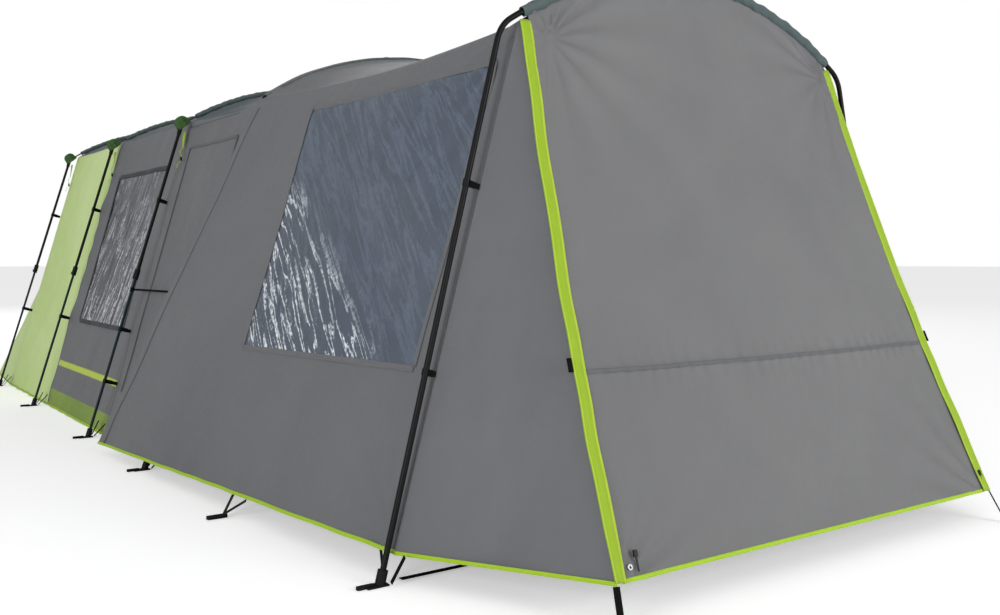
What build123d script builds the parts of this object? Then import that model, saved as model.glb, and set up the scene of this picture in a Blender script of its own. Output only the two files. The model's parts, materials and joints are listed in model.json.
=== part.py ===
"""A tunnel tent on poles with a porch: steel and fibreglass hoops, telescopic legs, cloth skins.

Frame of the model: millimetres, +Z up, +Y towards the sleeping end, the porch door faces -Y.
The origin is on the ground, in the middle of the tent's footprint.
"""
import os
from math import asin, cos, degrees, radians, sin, sqrt

from build123d import *

os.makedirs("parts", exist_ok=True)

# ---- Driving dimensions -------------------------------------------------------------------
# Length of each stretch, from the porch door's hem to the rear hem
FRONT_REACH = 713
PORCH_LENGTH = 2243
DOOR_BAY = 1106
WINDOW_BAY = 1529
BED_BAY = 1319
REAR_REACH = 900

# Main hoops: fibreglass roof poles on raked telescopic legs
HUB_HALF_WIDTH = 925
HUB_HEIGHT = 1863
FOOT_HALF_WIDTH = 1510
ROOF_RADIUS = 1650
FRONT_HUB_RAKE = 190
POLE_RADIUS = 5.5
UPPER_RADIUS = 9.5
UPPER_WALL = 1.2
LOWER_WALL = 1.0
RUNNING_CLEARANCE = 0.3
LEG_SETBACK = 10
LOCK_HEIGHT = 0.51 * HUB_HEIGHT
LEG_OVERLAP = 100
COLLAR_RADIUS = UPPER_RADIUS + 6.5
COLLAR_ABOVE = 34
COLLAR_BELOW = 30
BUTTON_RADIUS = 6
BUTTON_TRAVEL = 3
BUTTON_PROUD = 4

# Corner hubs and their soft protectors
HUB_BODY_RADIUS = UPPER_RADIUS + 7.5
HUB_SOCKET_LENGTH = 62
HUB_SOCKET_WALL = 3
POLE_PLUG = 45
POLE_SETBACK = 12
PROTECTOR_RADIUS = 50
PROTECTOR_WALL = 3

# Boots on the ground
BOOT_WALL = 7
BOOT_HEIGHT = 52
BOOT_FLOOR = 8
BOOT_PAD = 6
BOOT_PAD_LENGTH = 78
BOOT_PAD_WIDTH = 40
BOOT_NOSE = 58
BOOT_NOSE_WIDTH = 15
BOOT_NOSE_HEIGHT = 12

# Porch hoop: one bent steel tube in five lengths
PORCH_FOOT_HALF_WIDTH = 1417
PORCH_ELBOW_HALF_WIDTH = 933
PORCH_TUBE_RADIUS = 10.5
PORCH_TUBE_WALL = 1.2
PORCH_JOINT_HEIGHT = 690
PORCH_SPIGOT = 70
PORCH_BEND_RADIUS = 130
ARCH_JOINT_GAP = 1
ELBOW_END_HALF_WIDTH = PORCH_ELBOW_HALF_WIDTH - 75

# Cloth
CLOTH = 1.0
SEAM = 3.0
WALL_TOP_HALF_WIDTH = HUB_HALF_WIDTH - PROTECTOR_RADIUS - 15
WALL_FOOT_HALF_WIDTH = FOOT_HALF_WIDTH - 85
REAR_FOOT_HALF_WIDTH = WALL_FOOT_HALF_WIDTH - 25
GROUND_GAP = 6
SLEEVE_RADIUS = POLE_RADIUS + 8.5
SLEEVE_WALL = 1.0
SLEEVE_SHORT = 95
PORCH_SLEEVE_RADIUS = PORCH_TUBE_RADIUS + 10.5
PORCH_TOP_HALF_WIDTH = PORCH_ELBOW_HALF_WIDTH - 76
PORCH_HEM_HALF_WIDTH = PORCH_FOOT_HALF_WIDTH - 57
PORCH_HEM_HEIGHT = 105
PORCH_FLARE = 142
PORCH_OVERLAP = 40
PORCH_TAIL = 580
PORCH_TAIL_HEIGHT = 32
DOOR_FOOT_HALF_WIDTH = 1000
DOOR_HEM_HEIGHT = 136
STRIP_WIDTH = 50
ZIP_GAP = 2
PORCH_PANE_TOP = HUB_HEIGHT - 111
PORCH_PANE_BOTTOM = 683
PORCH_PANE_FRONT = 80
PORCH_PANE_REAR = 0.642 * PORCH_LENGTH
PORCH_PANE_LEAN = 55
MAIN_PANE_TOP = HUB_HEIGHT - 243
MAIN_PANE_BOTTOM = 610
MAIN_PANE_MARGIN = 230
MUD_BAND_HEIGHT = 118
TAPE_HEIGHT = 300
TAPE_WIDTH = 42
SIDE_DOOR_TOP = HUB_HEIGHT - 148
SIDE_DOOR_BOTTOM = 235
SIDE_DOOR_MARGIN = 120
SIDE_DOOR_WIDTH = 760
FLOOR_SHEET = 1.0
TAPE_END_GAP = 18

# Sleeping compartment
BED_INSET = 95
BED_HEIGHT = HUB_HEIGHT - 123
BED_TOP_HALF_WIDTH = 790
BED_TAIL = 780
BED_FRONT_GAP = 60
BED_DOOR_WIDTH = 800
BED_DOOR_SILL = 120
BED_DOOR_HEIGHT = BED_HEIGHT - BED_DOOR_SILL - 170

# Webbing, clips, zips
WEBBING = 2.0
WEBBING_WIDTH = 25
CLIP_WALL = 2.5
CLIP_LENGTH = 24
CLIP_HEIGHTS = (HUB_HEIGHT - 463, 630)
CLIP_ARM_SHARE = 0.45
CLIP_WEB_INSET = 2
LOW_CLIP_HEIGHT = 325
PORCH_CLIP_HEIGHTS = (HUB_HEIGHT - 548, 684)
SLIDER_LENGTH = 22
SLIDER_WIDTH = 14
SLIDER_HEIGHT = 7
SLIDER_LIFT = 1.5
PULLER_LENGTH = 46
SLIDER_REST = 60
CORNER_STRAP_LENGTH = 150
BUCKLE_SIZE = 34
EYELET_RADIUS = 9
GUY_RADIUS = 1.5
GUY_LENGTH = 830
GUY_HEIGHT = HUB_HEIGHT - 20
HANG_LENGTH = 230
TIE_LENGTH = 470
TIE_HEIGHT = LOCK_HEIGHT - 88
HOOK_STATION = 1130
HOOK_DROP = 70
TAB_HEIGHT = 735

# ---- Places worked out from them ----------------------------------------------------------
TOTAL_LENGTH = FRONT_REACH + PORCH_LENGTH + DOOR_BAY + WINDOW_BAY + BED_BAY + REAR_REACH
Y_PORCH = -TOTAL_LENGTH / 2 + FRONT_REACH
Y_FRONT = Y_PORCH + PORCH_LENGTH
Y_DOOR = Y_FRONT + DOOR_BAY
Y_WINDOW = Y_DOOR + WINDOW_BAY
Y_REAR = Y_WINDOW + BED_BAY
Y_HUB = {"front": Y_FRONT - FRONT_HUB_RAKE, "door": Y_DOOR, "window": Y_WINDOW, "rear": Y_REAR}
Y_FOOT = {"front": Y_FRONT, "door": Y_DOOR, "window": Y_WINDOW, "rear": Y_REAR}
HOOPS = ("front", "door", "window", "rear")
SIDES = {"left": -1, "right": 1}

ARC_CENTRE = HUB_HEIGHT - sqrt(ROOF_RADIUS**2 - HUB_HALF_WIDTH**2)
ROOF_SKIN = ROOF_RADIUS - SLEEVE_RADIUS - 1
GABLE_SKIN = ROOF_RADIUS - PORCH_SLEEVE_RADIUS - 1
PORCH_SKIN = ROOF_RADIUS + HUB_BODY_RADIUS + 5
LOWER_RADIUS = UPPER_RADIUS - UPPER_WALL - RUNNING_CLEARANCE
BOOT_BORE = LOWER_RADIUS + RUNNING_CLEARANCE
PORCH_INNER = PORCH_TUBE_RADIUS - PORCH_TUBE_WALL


def arc_height(radius, half_width):
    """Height of the roof arc of this radius, this far from the middle."""
    return ARC_CENTRE + sqrt(radius**2 - half_width**2)


WALL_TOP = arc_height(ROOF_SKIN, WALL_TOP_HALF_WIDTH)
PORCH_TOP = arc_height(GABLE_SKIN, PORCH_TOP_HALF_WIDTH)


def wall_x(height):
    """Half-width of the main side wall at a height."""
    share = (WALL_TOP - height) / WALL_TOP
    return WALL_TOP_HALF_WIDTH + (WALL_FOOT_HALF_WIDTH - WALL_TOP_HALF_WIDTH) * share


def porch_x(y, height):
    """Half-width of the porch side wall: it leans like its hoop and flares to the rear."""
    lean = (PORCH_HEM_HALF_WIDTH - PORCH_TOP_HALF_WIDTH) / (PORCH_TOP - PORCH_HEM_HEIGHT)
    flare = PORCH_FLARE / (PORCH_LENGTH - FRONT_HUB_RAKE)
    return PORCH_TOP_HALF_WIDTH + (PORCH_TOP - height) * lean + (y - Y_PORCH) * flare


def leg_plane(hoop, side, along):
    """Plane across a main leg, this far up it from the ground; its X points out of the tent."""
    foot = Vector(side * FOOT_HALF_WIDTH, Y_FOOT[hoop], 0)
    hub = Vector(side * HUB_HALF_WIDTH, Y_HUB[hoop], HUB_HEIGHT)
    up = (hub - foot).normalized()
    out = Vector(0, side, 0).cross(up)
    return Plane(origin=foot + up * along, x_dir=out, z_dir=up)


def leg_length(hoop):
    """Length of a main leg from the ground to the middle of its hub."""
    spread = FOOT_HALF_WIDTH - HUB_HALF_WIDTH
    rake = Y_FOOT[hoop] - Y_HUB[hoop]
    return sqrt(spread**2 + rake**2 + HUB_HEIGHT**2)


def leg_station(hoop, height):
    """Distance up a main leg at which it reaches a height."""
    return height * leg_length(hoop) / HUB_HEIGHT


def porch_leg_plane(side, along):
    """Plane across a porch leg, this far up it from the ground; its X points out."""
    foot = Vector(side * PORCH_FOOT_HALF_WIDTH, Y_PORCH, 0)
    elbow = Vector(side * PORCH_ELBOW_HALF_WIDTH, Y_PORCH, HUB_HEIGHT)
    up = (elbow - foot).normalized()
    out = Vector(0, side, 0).cross(up)
    return Plane(origin=foot + up * along, x_dir=out, z_dir=up)


def porch_station(height):
    """Distance up a porch leg at which it reaches a height."""
    spread = PORCH_FOOT_HALF_WIDTH - PORCH_ELBOW_HALF_WIDTH
    return height * sqrt(spread**2 + HUB_HEIGHT**2) / HUB_HEIGHT


def panel_plane(corners):
    """Plane of a flat panel: on its first corner, X along its first edge."""
    first = Vector(*corners[0])
    along = (Vector(*corners[1]) - first).normalized()
    normal = along.cross(Vector(*corners[2]) - first).normalized()
    return Plane(origin=first, x_dir=along, z_dir=normal)


def in_plane(plane, corners):
    """The corners in the plane's own X and Y."""
    local = [plane.to_local_coords(Vector(*corner)) for corner in corners]
    return [(point.X, point.Y) for point in local]


def cloth_panel(corners, gap=SEAM, hole=(), hole_gap=0.0):
    """A flat cloth panel drawn in a seam's width from its corners, with an optional hole."""
    plane = panel_plane(corners)
    with BuildPart() as panel:
        with BuildSketch(plane):
            Polygon(*in_plane(plane, corners), align=None)
            offset(amount=-gap, kind=Kind.INTERSECTION)
        extrude(amount=CLOTH / 2, both=True)
        if hole:
            with BuildSketch(plane) as cut:
                Polygon(*in_plane(plane, hole), align=None)
                if hole_gap:
                    offset(amount=hole_gap, kind=Kind.INTERSECTION)
            extrude(cut.sketch, amount=CLOTH, both=True, mode=Mode.SUBTRACT)
    return panel


def both_sides(right_part):
    """A part for the right side and its mirror image on the left, as separate solids."""
    with BuildPart() as pair:
        add(right_part.part)
        mirror(about=Plane.YZ)
    return pair


def strap(start, end, width, thickness, across):
    """A flat strap from start to end; `across` is the direction of its width."""
    start, end = Vector(*start), Vector(*end)
    run = end - start
    with BuildPart() as band:
        with BuildSketch(Plane(origin=start, x_dir=Vector(*across), z_dir=run)):
            Rectangle(width, thickness)
        extrude(amount=run.length)
    return band


def roof_sweep(y, half_width, radius, outer, inner):
    """A round tube or rod bent along the roof arc at y, out to half_width on both sides."""
    angle = degrees(asin(half_width / radius))
    radial = Vector(-sin(radians(angle)), 0, cos(radians(angle)))
    start = Plane(origin=(0, y, ARC_CENTRE), x_dir=radial, z_dir=radial.cross(Vector(0, 1, 0)))
    with BuildPart() as bent:
        with BuildSketch(start):
            with Locations((radius, 0)):
                Circle(outer)
                if inner:
                    Circle(inner, mode=Mode.SUBTRACT)
        revolve(axis=Axis((0, y, ARC_CENTRE), (0, 1, 0)), revolution_arc=2 * angle)
    return bent


def finish(part, name):
    """Label a finished sub-part and write its file."""
    part.part.label = name
    export_step(part.part, f"parts/{name}.step")


# ---- Main frame: legs, locks, hubs, roof poles ---------------------------------------------
for hoop in HOOPS:
    for side_name, side in SIDES.items():
        lock_at = leg_station(hoop, LOCK_HEIGHT)
        with BuildPart() as lower_leg:
            with BuildSketch(leg_plane(hoop, side, BOOT_FLOOR + LEG_SETBACK)):
                Circle(LOWER_RADIUS)
                Circle(LOWER_RADIUS - LOWER_WALL, mode=Mode.SUBTRACT)
            extrude(amount=lock_at + LEG_OVERLAP - BOOT_FLOOR - LEG_SETBACK)
        finish(lower_leg, f"lower_leg_{hoop}_{side_name}")

        button_plane = leg_plane(hoop, side, lock_at - COLLAR_BELOW / 2)
        with BuildPart() as lock_button:
            with BuildSketch(Plane(button_plane.origin, x_dir=button_plane.z_dir, z_dir=button_plane.x_dir)
                             .offset(LOWER_RADIUS + BUTTON_PROUD)):
                Circle(BUTTON_RADIUS)
            extrude(amount=COLLAR_RADIUS - LOWER_RADIUS)
            fillet(lock_button.edges().group_by(SortBy.LENGTH)[-1], BUTTON_RADIUS / 5)
        finish(lock_button, f"lock_button_{hoop}_{side_name}")

with BuildPart() as upper_legs:
    for hoop in HOOPS:
        for side in SIDES.values():
            lock_at = leg_station(hoop, LOCK_HEIGHT)
            with BuildSketch(leg_plane(hoop, side, lock_at)):
                Circle(UPPER_RADIUS)
                Circle(UPPER_RADIUS - UPPER_WALL, mode=Mode.SUBTRACT)
            extrude(amount=leg_length(hoop) - HUB_BODY_RADIUS - lock_at)
finish(upper_legs, "upper_legs")

with BuildPart() as lock_collars:
    for hoop in HOOPS:
        for side in SIDES.values():
            lock_at = leg_station(hoop, LOCK_HEIGHT)
            with BuildSketch(leg_plane(hoop, side, lock_at - COLLAR_BELOW)):
                Circle(COLLAR_RADIUS)
                Circle(LOWER_RADIUS + RUNNING_CLEARANCE, mode=Mode.SUBTRACT)
            extrude(amount=COLLAR_BELOW)
            with BuildSketch(leg_plane(hoop, side, lock_at)):
                Circle(COLLAR_RADIUS)
                Circle(UPPER_RADIUS, mode=Mode.SUBTRACT)
            extrude(amount=COLLAR_ABOVE)
            button_plane = leg_plane(hoop, side, lock_at - COLLAR_BELOW / 2)
            with BuildSketch(Plane(button_plane.origin, x_dir=button_plane.z_dir, z_dir=button_plane.x_dir)
                             .offset(LOWER_RADIUS / 2)):
                Circle(BUTTON_RADIUS + RUNNING_CLEARANCE)
            extrude(amount=2 * COLLAR_RADIUS, mode=Mode.SUBTRACT)
finish(lock_collars, "lock_collars")

POLE_END_HALF_WIDTH = HUB_HALF_WIDTH - POLE_SETBACK
with BuildPart() as roof_poles:
    for hoop in HOOPS:
        add(roof_sweep(Y_HUB[hoop], POLE_END_HALF_WIDTH, ROOF_RADIUS, POLE_RADIUS, 0).part)
finish(roof_poles, "roof_poles")


def hub_planes(hoop, side):
    """Planes at a hub's middle: Z down the leg, and Z along the roof pole."""
    down = leg_plane(hoop, side, leg_length(hoop))
    angle = asin(HUB_HALF_WIDTH / ROOF_RADIUS)
    inwards = Vector(-side * cos(angle), 0, sin(angle))
    centre = Vector(side * HUB_HALF_WIDTH, Y_HUB[hoop], HUB_HEIGHT)
    return Plane(centre, x_dir=down.x_dir, z_dir=-down.z_dir), Plane(centre, x_dir=(0, 1, 0), z_dir=inwards)


with BuildPart() as corner_hubs:
    for hoop in HOOPS:
        for side in SIDES.values():
            to_leg, to_pole = hub_planes(hoop, side)
            with Locations(to_leg.location):
                Sphere(HUB_BODY_RADIUS)
            with BuildSketch(to_leg):
                Circle(UPPER_RADIUS + HUB_SOCKET_WALL)
            extrude(amount=HUB_SOCKET_LENGTH)
            with BuildSketch(to_pole):
                Circle(POLE_RADIUS + HUB_SOCKET_WALL)
            extrude(amount=POLE_PLUG)
            with BuildSketch(to_leg.offset(HUB_BODY_RADIUS)):
                Circle(UPPER_RADIUS)
            extrude(amount=HUB_SOCKET_LENGTH, mode=Mode.SUBTRACT)
    add(roof_poles.part, mode=Mode.SUBTRACT)
finish(corner_hubs, "corner_hubs")

with BuildPart() as hub_protectors:
    for hoop in HOOPS[1:]:
        for side in SIDES.values():
            to_leg, to_pole = hub_planes(hoop, side)
            with Locations(to_leg.location):
                Sphere(PROTECTOR_RADIUS)
            with Locations(to_leg.location):
                Sphere(PROTECTOR_RADIUS - PROTECTOR_WALL, mode=Mode.SUBTRACT)
            with BuildSketch(to_leg):
                Circle(PROTECTOR_RADIUS - PROTECTOR_WALL - SLEEVE_WALL)
            extrude(amount=PROTECTOR_RADIUS, mode=Mode.SUBTRACT)
            with BuildSketch(to_pole):
                Circle(SLEEVE_RADIUS + RUNNING_CLEARANCE)
            extrude(amount=PROTECTOR_RADIUS, mode=Mode.SUBTRACT)
finish(hub_protectors, "hub_protectors")

# ---- Porch hoop -----------------------------------------------------------------------------
JOINT_STATION = porch_station(PORCH_JOINT_HEIGHT)
with BuildPart() as porch_lower_legs:
    for side in SIDES.values():
        with BuildSketch(porch_leg_plane(side, BOOT_FLOOR + LEG_SETBACK)):
            Circle(PORCH_TUBE_RADIUS)
            Circle(PORCH_INNER - PORCH_TUBE_WALL, mode=Mode.SUBTRACT)
        extrude(amount=JOINT_STATION - BOOT_FLOOR - LEG_SETBACK)
        with BuildSketch(porch_leg_plane(side, JOINT_STATION)):
            Circle(PORCH_INNER)
            Circle(PORCH_INNER - PORCH_TUBE_WALL, mode=Mode.SUBTRACT)
        extrude(amount=PORCH_SPIGOT)
finish(porch_lower_legs, "porch_lower_legs")

# The elbow's corner is where the leg's line meets the arch's tangent at the elbow's end
ELBOW_END_ANGLE = asin(ELBOW_END_HALF_WIDTH / ROOF_RADIUS)
ELBOW_END_HEIGHT = arc_height(ROOF_RADIUS, ELBOW_END_HALF_WIDTH)
LEG_LEAN = (PORCH_FOOT_HALF_WIDTH - PORCH_ELBOW_HALF_WIDTH) / HUB_HEIGHT
CORNER_RUN = (
    (PORCH_FOOT_HALF_WIDTH - LEG_LEAN * ELBOW_END_HEIGHT - ELBOW_END_HALF_WIDTH)
    / (cos(ELBOW_END_ANGLE) - LEG_LEAN * sin(ELBOW_END_ANGLE))
)
CORNER_X = ELBOW_END_HALF_WIDTH + CORNER_RUN * cos(ELBOW_END_ANGLE)
CORNER_Z = ELBOW_END_HEIGHT - CORNER_RUN * sin(ELBOW_END_ANGLE)

with BuildPart() as right_elbow:
    with BuildLine(Plane.XZ.offset(-Y_PORCH)) as elbow_path:
        FilletPolyline(
            (PORCH_FOOT_HALF_WIDTH - LEG_LEAN * PORCH_JOINT_HEIGHT, PORCH_JOINT_HEIGHT),
            (CORNER_X, CORNER_Z),
            (ELBOW_END_HALF_WIDTH, ELBOW_END_HEIGHT),
            radius=PORCH_BEND_RADIUS,
        )
    with BuildSketch(Plane(origin=elbow_path.line @ 0, z_dir=elbow_path.line % 0)):
        Circle(PORCH_TUBE_RADIUS)
        Circle(PORCH_INNER, mode=Mode.SUBTRACT)
    sweep()
porch_elbows = both_sides(right_elbow)
finish(porch_elbows, "porch_elbows")

with BuildPart() as porch_arch:
    add(roof_sweep(Y_PORCH, ELBOW_END_HALF_WIDTH - ARCH_JOINT_GAP, ROOF_RADIUS,
                   PORCH_TUBE_RADIUS, PORCH_INNER).part)
finish(porch_arch, "porch_arch")

# ---- Boots, on every foot -------------------------------------------------------------------
BOOT_SPOTS = [(leg_plane(hoop, side, 0), side, BOOT_BORE) for hoop in HOOPS for side in SIDES.values()]
BOOT_SPOTS += [(porch_leg_plane(side, 0), side, PORCH_TUBE_RADIUS) for side in SIDES.values()]
with BuildPart() as leg_boots:
    for across, side, bore in BOOT_SPOTS:
        foot = across.origin
        with BuildSketch(across.offset(-BOOT_FLOOR)):
            Circle(bore + BOOT_WALL)
        extrude(amount=BOOT_HEIGHT + BOOT_FLOOR)
        with Locations((foot.X + side * BOOT_PAD_LENGTH / 6, foot.Y, BOOT_PAD / 2)):
            Box(BOOT_PAD_LENGTH, BOOT_PAD_WIDTH, BOOT_PAD)
        with Locations((foot.X + side * (BOOT_PAD_LENGTH / 2 + BOOT_NOSE / 4), foot.Y, BOOT_NOSE_HEIGHT / 2)):
            Box(BOOT_NOSE, BOOT_NOSE_WIDTH, BOOT_NOSE_HEIGHT)
        with BuildSketch(across.offset(BOOT_FLOOR + LEG_SETBACK)):
            Circle(bore)
        extrude(amount=BOOT_HEIGHT, mode=Mode.SUBTRACT)
    split(bisect_by=Plane.XY)
finish(leg_boots, "leg_boots")

# ---- Clips that hold the walls to the legs --------------------------------------------------
CLIP_SPOTS = []
for hoop in HOOPS:
    for side in SIDES.values():
        for height in CLIP_HEIGHTS + ((LOW_CLIP_HEIGHT,) if hoop in ("front", "door") else ()):
            radius = UPPER_RADIUS if height > LOCK_HEIGHT else LOWER_RADIUS
            CLIP_SPOTS.append((leg_plane(hoop, side, leg_station(hoop, height)), radius,
                               wall_x(height)))
for side in SIDES.values():
    for height in PORCH_CLIP_HEIGHTS:
        place = porch_leg_plane(side, porch_station(height))
        CLIP_SPOTS.append((place, PORCH_TUBE_RADIUS, porch_x(Y_PORCH, height)))

with BuildPart() as leg_clips:
    for place, radius, reach in CLIP_SPOTS:
        ring = radius + RUNNING_CLEARANCE
        arm = (abs(place.origin.X) - reach) * CLIP_ARM_SHARE
        with BuildSketch(place):
            Circle(ring + CLIP_WALL)
            with Locations((-ring - arm / 2, 0)):
                Rectangle(arm, 2 * CLIP_WALL)
            Circle(ring, mode=Mode.SUBTRACT)
            with Locations((0, ring)):
                Rectangle(ring, 2 * ring, mode=Mode.SUBTRACT)
        extrude(amount=CLIP_LENGTH / 2, both=True)
finish(leg_clips, "leg_clips")

WALL_SLOPE = (WALL_FOOT_HALF_WIDTH - WALL_TOP_HALF_WIDTH) / WALL_TOP
with BuildPart() as clip_webbing:
    for place, radius, reach in CLIP_SPOTS:
        ring = radius + RUNNING_CLEARANCE
        spread = abs(place.origin.X) - reach
        gap = spread / (place.z_dir.Z + WALL_SLOPE * sqrt(1 - place.z_dir.Z**2)) - SEAM
        with BuildSketch(place):
            with Locations((-(ring + CLIP_WALL + gap) / 2, CLIP_WALL + WEBBING / 2)):
                Rectangle(gap - ring - CLIP_WALL, WEBBING)
        extrude(amount=CLIP_LENGTH / 2 - CLIP_WEB_INSET, both=True)
finish(clip_webbing, "clip_webbing")

# ---- Main cloth -----------------------------------------------------------------------------
def roof_shell(y_from, y_to, skin, half_width):
    """An arched cloth skin of constant section between two stations."""
    angle = degrees(asin(half_width / skin))
    radial = Vector(-sin(radians(angle)), 0, cos(radians(angle)))
    start = Plane(origin=(0, (y_from + y_to) / 2, ARC_CENTRE), x_dir=radial,
                  z_dir=radial.cross(Vector(0, 1, 0)))
    with BuildPart() as shell:
        with BuildSketch(start):
            with Locations((skin - CLOTH / 2, 0)):
                Rectangle(CLOTH, y_to - y_from)
        revolve(axis=Axis((0, 0, ARC_CENTRE), (0, 1, 0)), revolution_arc=2 * angle)
    return shell


main_roof = roof_shell(Y_HUB["front"], Y_REAR, ROOF_SKIN, WALL_TOP_HALF_WIDTH - SEAM)
finish(main_roof, "main_roof")

with BuildPart() as pole_sleeves:
    for hoop in HOOPS:
        half = HUB_HALF_WIDTH - SLEEVE_SHORT
        add(roof_sweep(Y_HUB[hoop], half, ROOF_RADIUS, SLEEVE_RADIUS, SLEEVE_RADIUS - SLEEVE_WALL).part)
finish(pole_sleeves, "pole_sleeves")


def wall_corners(y_low_from, y_low_to, y_top_to, y_top_from, low, top):
    """Corners of a stretch of the right-hand main wall between two heights."""
    return [
        (wall_x(low), y_low_from, low),
        (wall_x(low), y_low_to, low),
        (wall_x(top), y_top_to, top),
        (wall_x(top), y_top_from, top),
    ]


def front_edge(height):
    """Station of the main wall's raked front edge at a height."""
    return Y_FRONT - FRONT_HUB_RAKE * height / WALL_TOP


bed_walls = both_sides(cloth_panel(
    wall_corners(Y_WINDOW, Y_REAR, Y_REAR, Y_WINDOW, GROUND_GAP, WALL_TOP)))
finish(bed_walls, "bed_walls")

main_pane_corners = wall_corners(
    Y_DOOR + MAIN_PANE_MARGIN, Y_WINDOW - MAIN_PANE_MARGIN,
    Y_WINDOW - MAIN_PANE_MARGIN, Y_DOOR + MAIN_PANE_MARGIN,
    MAIN_PANE_BOTTOM, MAIN_PANE_TOP)
window_walls = both_sides(cloth_panel(
    wall_corners(Y_DOOR, Y_WINDOW, Y_WINDOW, Y_DOOR, MUD_BAND_HEIGHT, WALL_TOP),
    hole=main_pane_corners))
finish(window_walls, "window_walls")
main_windows = both_sides(cloth_panel(main_pane_corners, gap=ZIP_GAP))
finish(main_windows, "main_windows")

side_door_corners = wall_corners(
    Y_DOOR - SIDE_DOOR_MARGIN - SIDE_DOOR_WIDTH, Y_DOOR - SIDE_DOOR_MARGIN,
    Y_DOOR - SIDE_DOOR_MARGIN, Y_DOOR - SIDE_DOOR_MARGIN - SIDE_DOOR_WIDTH,
    SIDE_DOOR_BOTTOM, SIDE_DOOR_TOP)
door_wall_corners = wall_corners(
    front_edge(MUD_BAND_HEIGHT), Y_DOOR, Y_DOOR, front_edge(WALL_TOP), MUD_BAND_HEIGHT, WALL_TOP)
door_wall_left = mirror(cloth_panel(door_wall_corners, hole=side_door_corners).part, about=Plane.YZ)
with BuildPart() as door_walls:
    add(cloth_panel(door_wall_corners).part)
    add(door_wall_left)
finish(door_walls, "door_walls")
with BuildPart() as side_door:
    add(mirror(cloth_panel(side_door_corners, gap=ZIP_GAP).part, about=Plane.YZ))
finish(side_door, "side_door")

mud_bands = both_sides(cloth_panel(wall_corners(
    Y_FRONT, Y_WINDOW, Y_WINDOW, front_edge(MUD_BAND_HEIGHT), GROUND_GAP, MUD_BAND_HEIGHT)))
finish(mud_bands, "mud_bands")

with BuildPart() as reflective_tapes:
    for side in SIDES.values():
        out = Vector(side * WALL_TOP, 0, WALL_FOOT_HALF_WIDTH - WALL_TOP_HALF_WIDTH).normalized()
        middle = Vector(side * wall_x(TAPE_HEIGHT), (Y_DOOR + Y_WINDOW) / 2, TAPE_HEIGHT)
        with BuildSketch(Plane(middle + out * CLOTH, x_dir=(0, 1, 0), z_dir=out)):
            Rectangle(WINDOW_BAY - 2 * TAPE_END_GAP, TAPE_WIDTH)
        extrude(amount=CLOTH / 2)
finish(reflective_tapes, "reflective_tapes")

rear_corners = [
    (-REAR_FOOT_HALF_WIDTH, Y_REAR + REAR_REACH, GROUND_GAP),
    (REAR_FOOT_HALF_WIDTH, Y_REAR + REAR_REACH, GROUND_GAP),
    (WALL_TOP_HALF_WIDTH, Y_REAR, WALL_TOP),
    (-WALL_TOP_HALF_WIDTH, Y_REAR, WALL_TOP),
]


def gable(y, skin, low):
    """The upright cloth segment between a chord at height low and the roof arc above it."""
    half_width = sqrt(skin**2 - (low - ARC_CENTRE) ** 2)
    with BuildPart() as segment:
        with BuildSketch(Plane.XZ.offset(-y)):
            with BuildLine():
                Line((-half_width, low), (half_width, low))
                ThreePointArc((half_width, low), (0, ARC_CENTRE + skin), (-half_width, low))
            make_face()
        extrude(amount=CLOTH / 2, both=True)
    return segment


rear_gable = gable(Y_REAR - CLOTH, ROOF_SKIN - 2 * CLOTH, WALL_TOP + SEAM)
with BuildPart() as rear_wall:
    add(cloth_panel(rear_corners).part)
    add(rear_gable.part)
finish(rear_wall, "rear_wall")

rear_gussets = both_sides(cloth_panel([
    (wall_x(GROUND_GAP), Y_REAR, GROUND_GAP),
    (REAR_FOOT_HALF_WIDTH, Y_REAR + REAR_REACH, GROUND_GAP),
    (WALL_TOP_HALF_WIDTH, Y_REAR, WALL_TOP),
]))
finish(rear_gussets, "rear_gussets")

with BuildPart() as groundsheet:
    with BuildSketch(Plane.XY):
        Polygon(
            (-WALL_FOOT_HALF_WIDTH + BED_INSET / 3, Y_FRONT),
            (WALL_FOOT_HALF_WIDTH - BED_INSET / 3, Y_FRONT),
            (WALL_FOOT_HALF_WIDTH - BED_INSET / 3, Y_REAR),
            (REAR_FOOT_HALF_WIDTH - BED_INSET / 3, Y_REAR + REAR_REACH - BED_INSET / 3),
            (-REAR_FOOT_HALF_WIDTH + BED_INSET / 3, Y_REAR + REAR_REACH - BED_INSET / 3),
            (-WALL_FOOT_HALF_WIDTH + BED_INSET / 3, Y_REAR),
            align=None,
        )
    extrude(amount=FLOOR_SHEET)
finish(groundsheet, "groundsheet")

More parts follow.
